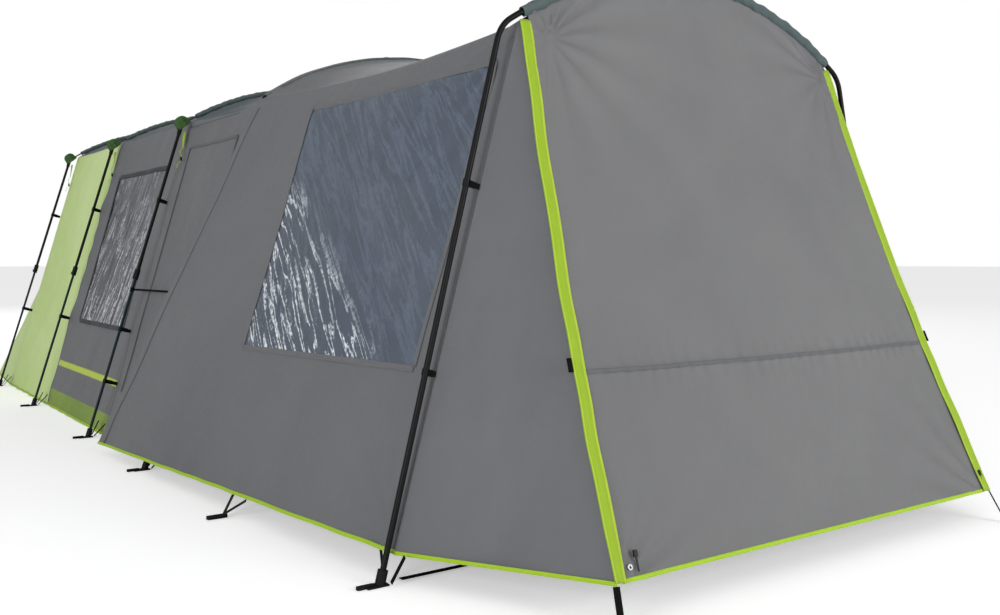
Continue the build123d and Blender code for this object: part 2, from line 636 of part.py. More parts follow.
# ---- Sleeping compartment -------------------------------------------------------------------
BED_FRONT = Y_WINDOW + BED_FRONT_GAP
BED_REAR = Y_REAR - BED_FRONT_GAP
BED_FLOOR = FLOOR_SHEET + SEAM
BED_FOOT_HALF_WIDTH = WALL_FOOT_HALF_WIDTH - BED_INSET
bed_side_corners = [
    (BED_FOOT_HALF_WIDTH, BED_FRONT, BED_FLOOR),
    (BED_FOOT_HALF_WIDTH, Y_REAR + BED_TAIL, BED_FLOOR),
    (BED_TOP_HALF_WIDTH, BED_REAR, BED_HEIGHT),
    (BED_TOP_HALF_WIDTH, BED_FRONT, BED_HEIGHT),
]
with BuildPart() as bedroom_shell:
    add(both_sides(cloth_panel(bed_side_corners)).part)
    add(cloth_panel([
        (-BED_FOOT_HALF_WIDTH, Y_REAR + BED_TAIL, BED_FLOOR),
        (BED_FOOT_HALF_WIDTH, Y_REAR + BED_TAIL, BED_FLOOR),
        (BED_TOP_HALF_WIDTH, BED_REAR, BED_HEIGHT),
        (-BED_TOP_HALF_WIDTH, BED_REAR, BED_HEIGHT),
    ]).part)
    add(cloth_panel([
        (-BED_TOP_HALF_WIDTH, BED_FRONT, BED_HEIGHT),
        (BED_TOP_HALF_WIDTH, BED_FRONT, BED_HEIGHT),
        (BED_TOP_HALF_WIDTH, BED_REAR, BED_HEIGHT),
        (-BED_TOP_HALF_WIDTH, BED_REAR, BED_HEIGHT),
    ]).part)
finish(bedroom_shell, "bedroom_shell")

bed_front_corners = [
    (-BED_FOOT_HALF_WIDTH, BED_FRONT, BED_FLOOR),
    (BED_FOOT_HALF_WIDTH, BED_FRONT, BED_FLOOR),
    (BED_TOP_HALF_WIDTH, BED_FRONT, BED_HEIGHT),
    (-BED_TOP_HALF_WIDTH, BED_FRONT, BED_HEIGHT),
]
bed_door_corners = [
    (-BED_DOOR_WIDTH / 2, BED_FRONT, BED_DOOR_SILL),
    (BED_DOOR_WIDTH / 2, BED_FRONT, BED_DOOR_SILL),
    (BED_DOOR_WIDTH / 2, BED_FRONT, BED_DOOR_SILL + BED_DOOR_HEIGHT),
    (-BED_DOOR_WIDTH / 2, BED_FRONT, BED_DOOR_SILL + BED_DOOR_HEIGHT),
]
bedroom_front = cloth_panel(bed_front_corners, hole=bed_door_corners)
finish(bedroom_front, "bedroom_front")
bedroom_door = cloth_panel(bed_door_corners, gap=ZIP_GAP)
finish(bedroom_door, "bedroom_door")

# ---- Porch cloth ----------------------------------------------------------------------------
PORCH_ROOF_FRONT = Y_PORCH + PORCH_SLEEVE_RADIUS + SEAM
PORCH_ROOF_REAR = Y_HUB["front"] + PORCH_OVERLAP


PORCH_REAR_HALF_WIDTH = PORCH_TOP_HALF_WIDTH + PORCH_FLARE
PORCH_REAR_TOP = arc_height(PORCH_SKIN, PORCH_REAR_HALF_WIDTH)

# A cone about the roof's own axis, cut to the plan that widens to the rear
ROOF_SPREAD = asin(PORCH_REAR_HALF_WIDTH / GABLE_SKIN)
roof_edge = Vector(-sin(ROOF_SPREAD), 0, cos(ROOF_SPREAD))
with BuildPart() as porch_roof:
    with BuildSketch(Plane((0, 0, ARC_CENTRE), x_dir=roof_edge, z_dir=roof_edge.cross(Vector(0, 1, 0)))):
        Polygon(
            (GABLE_SKIN, PORCH_ROOF_FRONT),
            (PORCH_SKIN, PORCH_ROOF_REAR),
            (PORCH_SKIN - CLOTH, PORCH_ROOF_REAR),
            (GABLE_SKIN - CLOTH, PORCH_ROOF_FRONT),
            align=None,
        )
    revolve(axis=Axis((0, 0, ARC_CENTRE), (0, 1, 0)), revolution_arc=2 * degrees(ROOF_SPREAD))
    with BuildSketch(Plane.XY):
        Polygon(
            (-PORCH_TOP_HALF_WIDTH + SEAM, PORCH_ROOF_FRONT),
            (PORCH_TOP_HALF_WIDTH - SEAM, PORCH_ROOF_FRONT),
            (PORCH_REAR_HALF_WIDTH - SEAM, PORCH_ROOF_REAR),
            (-PORCH_REAR_HALF_WIDTH + SEAM, PORCH_ROOF_REAR),
            align=None,
        )
    extrude(amount=ARC_CENTRE + PORCH_SKIN, mode=Mode.INTERSECT)
finish(porch_roof, "porch_roof")

with BuildPart() as porch_sleeve:
    add(roof_sweep(Y_PORCH, PORCH_TOP_HALF_WIDTH - POLE_SETBACK, ROOF_RADIUS, PORCH_SLEEVE_RADIUS,
                   PORCH_SLEEVE_RADIUS - SLEEVE_WALL).part)
finish(porch_sleeve, "porch_sleeve")

TAIL_Y = Y_FRONT + PORCH_TAIL
SIDE_REAR_TOP = PORCH_REAR_TOP - SEAM


def porch_point(y, height):
    """A corner on the right-hand porch wall."""
    return (porch_x(y, height), y, height)


porch_pane_corners = [
    porch_point(Y_PORCH + PORCH_PANE_FRONT + PORCH_PANE_LEAN, PORCH_PANE_BOTTOM),
    porch_point(Y_PORCH + PORCH_PANE_REAR + PORCH_PANE_LEAN, PORCH_PANE_BOTTOM),
    porch_point(Y_PORCH + PORCH_PANE_REAR, PORCH_PANE_TOP),
    porch_point(Y_PORCH + PORCH_PANE_FRONT, PORCH_PANE_TOP),
]
porch_sides = both_sides(cloth_panel([
    porch_point(Y_PORCH, PORCH_HEM_HEIGHT),
    porch_point(TAIL_Y, PORCH_TAIL_HEIGHT),
    porch_point(PORCH_ROOF_REAR, SIDE_REAR_TOP),
    porch_point(Y_PORCH, PORCH_TOP),
], hole=porch_pane_corners))
finish(porch_sides, "porch_sides")
porch_windows = both_sides(cloth_panel(porch_pane_corners, gap=ZIP_GAP))
finish(porch_windows, "porch_windows")

FRONT_Y = Y_PORCH - FRONT_REACH
porch_gussets = both_sides(cloth_panel([
    (PORCH_HEM_HALF_WIDTH, Y_PORCH, PORCH_HEM_HEIGHT),
    (DOOR_FOOT_HALF_WIDTH, FRONT_Y, DOOR_HEM_HEIGHT),
    (PORCH_TOP_HALF_WIDTH, Y_PORCH, PORCH_TOP),
]))
finish(porch_gussets, "porch_gussets")

zip_strips = both_sides(cloth_panel([
    (DOOR_FOOT_HALF_WIDTH, FRONT_Y, DOOR_HEM_HEIGHT),
    (PORCH_TOP_HALF_WIDTH, Y_PORCH, PORCH_TOP),
    (PORCH_TOP_HALF_WIDTH - STRIP_WIDTH, Y_PORCH, PORCH_TOP),
    (DOOR_FOOT_HALF_WIDTH - STRIP_WIDTH, FRONT_Y, DOOR_HEM_HEIGHT),
], gap=SEAM / 2))
finish(zip_strips, "zip_strips")

front_door = cloth_panel([
    (-DOOR_FOOT_HALF_WIDTH + STRIP_WIDTH, FRONT_Y, DOOR_HEM_HEIGHT),
    (DOOR_FOOT_HALF_WIDTH - STRIP_WIDTH, FRONT_Y, DOOR_HEM_HEIGHT),
    (PORCH_TOP_HALF_WIDTH - STRIP_WIDTH, Y_PORCH, PORCH_TOP),
    (-PORCH_TOP_HALF_WIDTH + STRIP_WIDTH, Y_PORCH, PORCH_TOP),
], gap=ZIP_GAP)
finish(front_door, "front_door")

porch_gable = gable(Y_PORCH, GABLE_SKIN - CLOTH, PORCH_TOP + SEAM)
finish(porch_gable, "porch_gable")

# ---- Zip sliders, one on each door zip ------------------------------------------------------
for side_name, side in SIDES.items():
    zip_foot = Vector(side * (DOOR_FOOT_HALF_WIDTH - STRIP_WIDTH), FRONT_Y, DOOR_HEM_HEIGHT)
    zip_top = Vector(side * (PORCH_TOP_HALF_WIDTH - STRIP_WIDTH), Y_PORCH, PORCH_TOP)
    up = (zip_top - zip_foot).normalized()
    outward = up.cross(Vector(1, 0, 0)).normalized()
    if outward.Y > 0:
        outward = -outward
    seat = Plane(zip_foot + up * SLIDER_REST, x_dir=up, z_dir=outward).offset(CLOTH + SLIDER_LIFT)
    with BuildPart() as zip_slider:
        with BuildSketch(seat):
            RectangleRounded(SLIDER_LENGTH, SLIDER_WIDTH, SLIDER_WIDTH / 4)
        extrude(amount=SLIDER_HEIGHT)
        with BuildSketch(seat.offset(SLIDER_HEIGHT / 2)):
            with Locations((-SLIDER_LENGTH / 2 - PULLER_LENGTH / 2 + SLIDER_WIDTH / 4, 0)):
                RectangleRounded(PULLER_LENGTH, SLIDER_WIDTH / 2, SLIDER_WIDTH / 5)
        extrude(amount=WEBBING)
    finish(zip_slider, f"zip_slider_{side_name}")

# ---- Webbing and small hardware -------------------------------------------------------------
with BuildPart() as boot_webbing:
    for across, side, _ in BOOT_SPOTS:
        foot = across.origin
        low = Vector(foot.X - side * (BOOT_PAD_LENGTH / 3 + SEAM), foot.Y, BOOT_PAD + SEAM)
        porch = abs(foot.Y - Y_PORCH) < SEAM
        rise = PORCH_HEM_HEIGHT if porch else GROUND_GAP + 3 * WEBBING_WIDTH
        for turn in (-1, 1):
            start = low + Vector(0, turn * WEBBING_WIDTH, 0)
            station = foot.Y + turn * 3 * WEBBING_WIDTH
            reach = porch_x(max(station, Y_PORCH), rise) + SEAM if porch else WALL_FOOT_HALF_WIDTH
            end = Vector(side * (reach + SEAM), station, rise)
            add(strap(start, end, WEBBING_WIDTH * 0.6, WEBBING, (0, 1, 0)).part)
finish(boot_webbing, "boot_webbing")

with BuildPart() as front_ground_strap:
    add(strap(
        (-PORCH_FOOT_HALF_WIDTH + BOOT_PAD_LENGTH, Y_PORCH, BOOT_PAD + WEBBING),
        (PORCH_FOOT_HALF_WIDTH - BOOT_PAD_LENGTH, Y_PORCH, BOOT_PAD + WEBBING),
        WEBBING_WIDTH, WEBBING, (0, 1, 0)).part)
finish(front_ground_strap, "front_ground_strap")

CORNER_SPOTS = [
    ((side * DOOR_FOOT_HALF_WIDTH, FRONT_Y, DOOR_HEM_HEIGHT), side, -1) for side in SIDES.values()
] + [
    ((side * REAR_FOOT_HALF_WIDTH, Y_REAR + REAR_REACH, BUCKLE_SIZE), side, 1) for side in SIDES.values()
]
# Pegging straps at the hem corners, and a black tab on the outer edge of each zip strip
with BuildPart() as edge_webbing:
    for corner, side, away in CORNER_SPOTS:
        start = Vector(*corner) + Vector(side * SEAM, away * SEAM, -SEAM)
        drop = start.Z - WEBBING
        run = Vector(side * 0.4, away * 0.9, 0) * sqrt(CORNER_STRAP_LENGTH**2 - min(drop, 140) ** 2)
        end = Vector(start.X + run.X, start.Y + run.Y, WEBBING)
        add(strap(start, end, WEBBING_WIDTH, WEBBING, (away * -0.9, side * 0.4, 0)).part)
    share = (PORCH_TOP - TAB_HEIGHT) / (PORCH_TOP - DOOR_HEM_HEIGHT)
    tab_x = PORCH_TOP_HALF_WIDTH + (DOOR_FOOT_HALF_WIDTH - PORCH_TOP_HALF_WIDTH) * share
    for side in SIDES.values():
        with Locations((side * (tab_x - WEBBING_WIDTH / 2), Y_PORCH - FRONT_REACH * share - 4 * SEAM, TAB_HEIGHT)):
            Box(WEBBING_WIDTH, WEBBING, WEBBING_WIDTH)
finish(edge_webbing, "edge_webbing")

with BuildPart() as corner_eyelets:
    for side in SIDES.values():
        spot = Vector(side * (DOOR_FOOT_HALF_WIDTH - STRIP_WIDTH / 2), FRONT_Y, DOOR_HEM_HEIGHT)
        rise = Vector(side * (PORCH_TOP_HALF_WIDTH - DOOR_FOOT_HALF_WIDTH), FRONT_REACH,
                      PORCH_TOP - DOOR_HEM_HEIGHT).normalized()
        facing = rise.cross(Vector(-1, 0, 0)).normalized()
        with BuildSketch(Plane(spot + rise * STRIP_WIDTH / 2, x_dir=rise, z_dir=facing).offset(CLOTH)):
            Circle(EYELET_RADIUS)
            Circle(EYELET_RADIUS / 2, mode=Mode.SUBTRACT)
        extrude(amount=CLOTH)
finish(corner_eyelets, "corner_eyelets")

# Lime webbing at the wall's top corners, with a tail that hangs down the seam to its runner
with BuildPart() as guy_tabs:
    for hoop in HOOPS[1:]:
        with BuildSketch(Plane.XZ.offset(-Y_HUB[hoop])):
            Polygon(
                (WALL_TOP_HALF_WIDTH + SEAM, WALL_TOP - 2 * SEAM),
                (HUB_HALF_WIDTH - 0.75 * PROTECTOR_RADIUS, HUB_HEIGHT - PROTECTOR_RADIUS - SEAM),
                (wall_x(WALL_TOP - WEBBING_WIDTH * 3) + SEAM, WALL_TOP - WEBBING_WIDTH * 3),
                align=None,
            )
        extrude(amount=CLOTH)
        tail_top = WALL_TOP - WEBBING_WIDTH * 3.4
        add(strap(
            (wall_x(tail_top) + 2 * SEAM, Y_HUB[hoop], tail_top),
            (wall_x(tail_top - HANG_LENGTH) + 2 * SEAM, Y_HUB[hoop] - WEBBING_WIDTH, tail_top - HANG_LENGTH),
            WEBBING_WIDTH / 2, CLOTH, (0, 1, 0)).part)
    with Locations((PORCH_TOP_HALF_WIDTH + 8 * SEAM, Y_PORCH - 3 * SEAM, PORCH_TOP - WEBBING_WIDTH)):
        Box(WEBBING_WIDTH / 2, CLOTH, WEBBING_WIDTH * 1.4)
    with Locations((wall_x(GUY_HEIGHT) + 4 * SEAM, Y_DOOR - GUY_LENGTH - WEBBING_WIDTH, GUY_HEIGHT)):
        Box(CLOTH, WEBBING_WIDTH, WEBBING_WIDTH)
    mirror(about=Plane.YZ)
finish(guy_tabs, "guy_tabs")

# A tight line from each door hub forward to its tab on the wall
with BuildPart() as guy_lines:
    start_y = Y_DOOR - PROTECTOR_RADIUS
    end_y = Y_DOOR - GUY_LENGTH - WEBBING_WIDTH / 2
    with BuildSketch(Plane.XZ.offset(-start_y)):
        for side in SIDES.values():
            with Locations((side * (wall_x(GUY_HEIGHT) + 4 * SEAM), GUY_HEIGHT)):
                Circle(GUY_RADIUS)
    extrude(amount=start_y - end_y)
finish(guy_lines, "guy_lines")

# Straps that hold the door flap's edge back to the door hoop's legs
with BuildPart() as tie_straps:
    place = leg_plane("door", 1, leg_station("door", TIE_HEIGHT))
    ring = LOWER_RADIUS + RUNNING_CLEARANCE
    with BuildSketch(place):
        Circle(ring + CLIP_WALL)
        Circle(ring, mode=Mode.SUBTRACT)
    extrude(amount=WEBBING_WIDTH / 2, both=True)
    add(strap(
        (place.origin.X - ring - WEBBING, Y_DOOR - ring - CLIP_WALL, TIE_HEIGHT),
        (wall_x(TIE_HEIGHT) + 2 * SEAM, Y_DOOR - TIE_LENGTH, TIE_HEIGHT),
        WEBBING_WIDTH / 2, WEBBING, (0, 0, 1)).part)
    mirror(about=Plane.YZ)
finish(tie_straps, "tie_straps")

# Pegging straps half-way along the porch hem, each with a hook that lies on the ground
with BuildPart() as hem_hooks:
    hook_y = Y_PORCH + HOOK_STATION
    hem_z = PORCH_HEM_HEIGHT + (PORCH_TAIL_HEIGHT - PORCH_HEM_HEIGHT) * HOOK_STATION / (TAIL_Y - Y_PORCH)
    hem_x = porch_x(hook_y, hem_z)
    for turn in (-1, 1):
        add(strap((hem_x, hook_y + turn * HOOK_DROP, hem_z - SEAM),
                  (hem_x + HOOK_DROP, hook_y, BOOT_NOSE_HEIGHT), WEBBING_WIDTH * 0.7, WEBBING, (0, 1, 0)).part)
    with BuildSketch(Plane.XY):
        with Locations((hem_x + HOOK_DROP * 1.4, hook_y)):
            RectangleRounded(HOOK_DROP * 1.2, WEBBING_WIDTH * 1.2, WEBBING_WIDTH / 3)
            SlotOverall(HOOK_DROP * 0.6, WEBBING_WIDTH / 3, mode=Mode.SUBTRACT)
    extrude(amount=BOOT_NOSE_HEIGHT)
    mirror(about=Plane.YZ)
finish(hem_hooks, "hem_hooks")
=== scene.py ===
"""Looks of the tunnel tent on poles: its cloth skins, film windows, webbing, lines and hardware.

Each sub-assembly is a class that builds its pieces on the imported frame, dresses them and fixes
them to their bodies. Sizes are read from the frame's boxes, in metres, +Z up, porch door at -Y.
"""

import json
import logging
import math
from dataclasses import dataclass, field
from enum import Enum

import bpy
import numpy as np
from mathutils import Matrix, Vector

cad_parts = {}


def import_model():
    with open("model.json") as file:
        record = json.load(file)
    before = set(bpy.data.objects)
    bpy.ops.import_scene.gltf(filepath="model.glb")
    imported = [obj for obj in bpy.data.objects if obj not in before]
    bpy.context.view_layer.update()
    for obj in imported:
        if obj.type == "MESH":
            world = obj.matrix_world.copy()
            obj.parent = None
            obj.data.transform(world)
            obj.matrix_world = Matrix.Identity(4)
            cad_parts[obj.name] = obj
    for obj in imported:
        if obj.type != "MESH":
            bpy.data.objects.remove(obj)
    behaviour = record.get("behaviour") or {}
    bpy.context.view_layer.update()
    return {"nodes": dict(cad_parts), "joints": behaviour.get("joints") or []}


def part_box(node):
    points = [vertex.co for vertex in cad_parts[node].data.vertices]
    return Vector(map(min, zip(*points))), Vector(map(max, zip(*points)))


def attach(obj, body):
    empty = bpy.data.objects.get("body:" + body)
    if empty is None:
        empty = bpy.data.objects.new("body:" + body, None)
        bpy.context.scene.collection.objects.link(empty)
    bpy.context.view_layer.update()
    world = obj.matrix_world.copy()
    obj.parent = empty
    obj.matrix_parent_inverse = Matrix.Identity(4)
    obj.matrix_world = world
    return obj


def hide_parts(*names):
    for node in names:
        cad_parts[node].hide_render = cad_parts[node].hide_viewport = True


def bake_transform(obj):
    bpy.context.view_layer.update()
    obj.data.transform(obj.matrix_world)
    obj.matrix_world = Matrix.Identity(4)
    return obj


log = logging.getLogger("tent")

SEAM = 0.003
ROD_RADIUS = 0.0055
RISE = np.array([0.0, -0.94, 0.34])
SLOPE = np.array([0.0, 0.34, 0.94])
FORE = np.array([0.0, 1.0, 0.0])
UP = np.array([0.0, 0.0, 1.0])
SIDES = {"left": -1.0, "right": 1.0}
HOOPS = ("front", "door", "window", "rear")
Colour = tuple[float, float, float]
FRAME_NODES: dict[str, bpy.types.Object] = {}
JOINTS: dict[str, dict] = {}


# ---- Numbers and grids ----------------------------------------------------------------------
def paint(red: float, green: float, blue: float) -> Colour:
    """A display colour of 0 to 255 a channel, as the linear values that shaders take.

    Args:
        red: red channel.
        green: green channel.
        blue: blue channel.

    Returns:
        The three linear channels.
    """
    values = np.array([red, green, blue]) / 255.0
    linear = np.where(values <= 0.04045, values / 12.92, ((values + 0.055) / 1.055) ** 2.4)
    return tuple(float(x) for x in linear)


def ease(t: np.ndarray) -> np.ndarray:
    """The smooth step 3t^2 - 2t^3 of t held between 0 and 1."""
    t = np.clip(t, 0.0, 1.0)
    return t * t * (3.0 - 2.0 * t)


def hump(t: np.ndarray) -> np.ndarray:
    """A half sine wave over t from 0 to 1, and nothing outside."""
    return np.sin(np.pi * np.clip(t, 0.0, 1.0))


def bell(distance: np.ndarray, width: float) -> np.ndarray:
    """A Gaussian bell of this width at a distance from its middle."""
    return np.exp(-((distance / width) ** 2))


def outward(sign: float) -> np.ndarray:
    """The direction that the wall on this side faces."""
    return np.array([sign * 0.957, 0.0, 0.29])


def uphill(sign: float) -> np.ndarray:
    """The direction up the wall on this side."""
    return np.array([-sign * 0.29, 0.0, 0.957])


def waves(a: np.ndarray, b: np.ndarray, seed: int, long: float, short: float,
          turn: float = 0.0, count: int = 14) -> np.ndarray:
    """Soft random folds: a sum of sine waves with seeded directions, lengths and phases.

    Args:
        a: first coordinate on the sheet, in metres.
        b: second coordinate on the sheet, in metres.
        seed: seed of the random choices.
        long: longest wavelength, in metres.
        short: shortest wavelength, in metres.
        turn: direction in which the folds lie, in radians from the first coordinate.
        count: number of waves.

    Returns:
        Heights of about -1 to 1, in the shape of a and b.
    """
    rng = np.random.default_rng(seed)
    total = np.zeros(np.broadcast(a, b).shape)
    for _ in range(count):
        length = short * (long / short) ** rng.random()
        angle = turn + math.pi / 2 + rng.normal(0.0, 0.38)
        phase = rng.random() * 2.0 * math.pi
        run = a * math.cos(angle) + b * math.sin(angle)
        total = total + np.sin(2.0 * math.pi * run / length + phase) * (length / long) ** 0.7
    return total / math.sqrt(count)


def steps(knots: list[float], pitch: float) -> tuple[np.ndarray, list[int]]:
    """Values from the first knot to the last, evenly spaced between knots about a pitch apart.

    Args:
        knots: increasing numbers that the values must hit.
        pitch: wanted spacing.

    Returns:
        The values, and each knot's place among them.
    """
    values, places = [np.array([knots[0]])], [0]
    for low, high in zip(knots, knots[1:]):
        cells = max(1, int(round((high - low) / pitch)))
        values.append(np.linspace(low, high, cells + 1)[1:])
        places.append(places[-1] + cells)
    return np.concatenate(values), places


def grid_normals(points: np.ndarray) -> np.ndarray:
    """Unit normals of a grid of points: the cross product of its two running differences.

    Args:
        points: rows by columns by three numbers.

    Returns:
        The normals, in the same shape.
    """
    along = np.gradient(points, axis=0)
    across = np.gradient(points, axis=1)
    normal = np.cross(along, across)
    return normal / np.maximum(np.linalg.norm(normal, axis=2, keepdims=True), 1e-12)


def arc_lengths(points: np.ndarray, axis: int) -> np.ndarray:
    """Distance travelled along one axis of a grid of points, from its first row or column.

    Args:
        points: the grid.
        axis: 0 down its rows, 1 along its columns.

    Returns:
        The distances, rows by columns.
    """
    run = np.linalg.norm(np.diff(points, axis=axis), axis=2)
    pad = [(1, 0), (0, 0)] if axis == 0 else [(0, 0), (1, 0)]
    return np.pad(np.cumsum(run, axis=axis), pad)


def make_piece(name: str, points: np.ndarray, faces: list[np.ndarray], uv: np.ndarray,
               slots: np.ndarray | None = None) -> bpy.types.Object:
    """A smooth mesh object from arrays.

    Args:
        name: name of the piece.
        points: one row of three numbers a vertex.
        faces: integer arrays, each with one row of vertex numbers a face.
        uv: one row of two numbers a vertex, in metres on the sheet.
        slots: material slot of each face, if it has more than one.

    Returns:
        The linked object.
    """
    used = np.unique(np.concatenate([face.ravel() for face in faces]))
    place = np.zeros(len(points), int)
    place[used] = np.arange(len(used))
    faces = [place[face] for face in faces]
    points, uv = points[used], uv[used]
    loops = np.concatenate([face.ravel() for face in faces])
    totals = np.concatenate([np.full(len(face), face.shape[1]) for face in faces])
    mesh = bpy.data.meshes.new(name)
    mesh.vertices.add(len(points))
    mesh.vertices.foreach_set("co", points.astype(np.float32).ravel())
    mesh.loops.add(len(loops))
    mesh.loops.foreach_set("vertex_index", loops.astype(np.int32))
    mesh.polygons.add(len(totals))
    mesh.polygons.foreach_set("loop_start", (np.cumsum(totals) - totals).astype(np.int32))
    if slots is not None:
        mesh.polygons.foreach_set("material_index", slots.astype(np.int32))
    layer = mesh.uv_layers.new(name="UVMap")
    layer.data.foreach_set("uv", uv[loops].astype(np.float32).ravel())
    mesh.update(calc_edges=True)
    mesh.shade_smooth()
    piece = bpy.data.objects.new(name, mesh)
    bpy.context.scene.collection.objects.link(piece)
    return piece


def quads(rows: int, columns: int, wrap: bool = False, flip: bool = False) -> np.ndarray:
    """Faces of a grid of rows by columns, row-major.

    Args:
        rows: number of rows of points.
        columns: number of points in a row.
        wrap: whether the last column joins the first.
        flip: whether to turn the faces over.

    Returns:
        An array of four vertex numbers a face.
    """
    i = np.arange(rows - 1)[:, None]
    j = np.arange(columns if wrap else columns - 1)[None, :]
    k = (j + 1) % columns
    face = np.stack([i * columns + j, (i + 1) * columns + j, (i + 1) * columns + k, i * columns + k], -1)
    face = face.reshape(-1, 4)
    return face[:, ::-1] if flip else face


@dataclass
class Sheet:
    """A grid of points that is one sheet of cloth or film.

    Attributes:
        name: name of the piece.
        points: grid of points, rows by columns by three.
        flip: whether its faces are turned over to face outwards.
        keep: which faces are kept, rows by columns of faces, or None for all.
        slots: material slot of each face, in the same shape, or None.
        wrap: whether the last column joins the first.
    """

    name: str
    points: np.ndarray
    flip: bool = False
    keep: np.ndarray | None = None
    slots: np.ndarray | None = None
    wrap: bool = False

    def build(self) -> bpy.types.Object:
        """The sheet as a mesh object, with its lengths along rows and columns as UVs.

        Returns:
            The linked object.
        """
        rows, columns = self.points.shape[:2]
        face = quads(rows, columns, self.wrap, not self.flip)
        uv = np.stack([arc_lengths(self.points, 1), arc_lengths(self.points, 0)], -1)
        slots = None if self.slots is None else self.slots.ravel()
        if self.keep is not None:
            kept = self.keep.ravel()
            face = face[kept]
            slots = None if slots is None else slots[kept]
        return make_piece(self.name, self.points.reshape(-1, 3), [face], uv.reshape(-1, 2), slots)


@dataclass
class Tape:
    """A flat strip of webbing, hem or tape that follows a line.

    Attributes:
        name: name of the piece.
        line: points of its middle, one row each.
        across: unit directions of its width, one row a point or one for all.
        out: unit directions of its face, likewise.
        width: width, in metres.
        thick: thickness, in metres.
        crown: how far its middle stands proud of its edges.
    """

    name: str
    line: np.ndarray
    across: np.ndarray
    out: np.ndarray
    width: float
    thick: float
    crown: float = 0.0

    def build(self) -> bpy.types.Object:
        """The strip as a closed mesh: a flat rounded ring carried along the line, capped.

        Returns:
            The linked object.
        """
        turns = np.linspace(0.0, 2.0 * math.pi, 17)[:-1]
        wide = np.sign(np.cos(turns)) * np.abs(np.cos(turns)) ** 0.45 * self.width / 2.0
        high = np.sign(np.sin(turns)) * np.abs(np.sin(turns)) ** 0.6 * self.thick / 2.0
        high = high + self.crown * np.cos(np.pi * wide / self.width) - self.crown / 2.0
        count = len(self.line)
        across = np.broadcast_to(self.across, (count, 3))
        out = np.broadcast_to(self.out, (count, 3))
        rings = (self.line[:, None] + across[:, None] * wide[None, :, None]
                 + out[:, None] * high[None, :, None])
        run = np.concatenate([[0.0], np.cumsum(np.linalg.norm(np.diff(self.line, axis=0), axis=1))])
        uv = np.stack(np.broadcast_arrays(run[:, None], wide[None] / self.width + 0.5), -1)
        side = np.cross(np.gradient(self.line, axis=0)[count // 2], across[count // 2])
        flip = float(side @ out[count // 2]) > 0
        face = quads(count, len(turns), wrap=True, flip=flip)
        caps = np.array([np.arange(len(turns)), (count - 1) * len(turns) + np.arange(len(turns))[::-1]])
        if not flip:
            caps = caps[:, ::-1]
        return make_piece(self.name, rings.reshape(-1, 3), [face, caps[:, ::-1]], uv.reshape(-1, 2))


def join(name: str, pieces: list[bpy.types.Object]) -> bpy.types.Object:
    """One mesh object made of several that share one material, named anew.

    Args:
        name: name of the joined piece.
        pieces: the pieces, which are removed.

    Returns:
        The joined piece.
    """
    points, faces, uv, base = [], {}, [], 0
    for piece in pieces:
        mesh = piece.data
        co = np.empty(len(mesh.vertices) * 3, np.float32)
        mesh.vertices.foreach_get("co", co)
        index = np.empty(len(mesh.loops), np.int32)
        mesh.loops.foreach_get("vertex_index", index)
        flat = np.empty(len(mesh.loops) * 2, np.float32)
        mesh.uv_layers[0].data.foreach_get("uv", flat)
        spots = np.zeros((len(mesh.vertices), 2), np.float32)
        spots[index] = flat.reshape(-1, 2)
        total = np.empty(len(mesh.polygons), np.int32)
        mesh.polygons.foreach_get("loop_total", total)
        start = np.cumsum(total) - total
        for size in np.unique(total):
            picked = start[total == size][:, None] + np.arange(size)[None, :]
            faces.setdefault(int(size), []).append(index[picked] + base)
        points.append(co.reshape(-1, 3))
        uv.append(spots)
        base += len(mesh.vertices)
        bpy.data.objects.remove(piece)
    grouped = [np.concatenate(rows) for rows in faces.values()]
    return make_piece(name, np.concatenate(points), grouped, np.concatenate(uv))

def edging(name: str, lines: list[np.ndarray], out: np.ndarray, width: float, thick: float,
           crown: float = 0.0) -> bpy.types.Object:
    """Tapes laid flat along several lines, as one mesh.

    Args:
        name: name of the piece.
        lines: points of each tape's middle.
        out: the direction that they face.
        width: width of a tape.
        thick: its thickness.
        crown: how far its middle stands proud.

    Returns:
        The joined piece.
    """
    strips = []
    for number, line in enumerate(lines):
        run = line[-1] - line[0]
        across = np.cross(out, run / np.linalg.norm(run))
        strips.append(Tape(f"{name}_{number}", line, across, out, width, thick, crown).build())
    return join(name, strips)


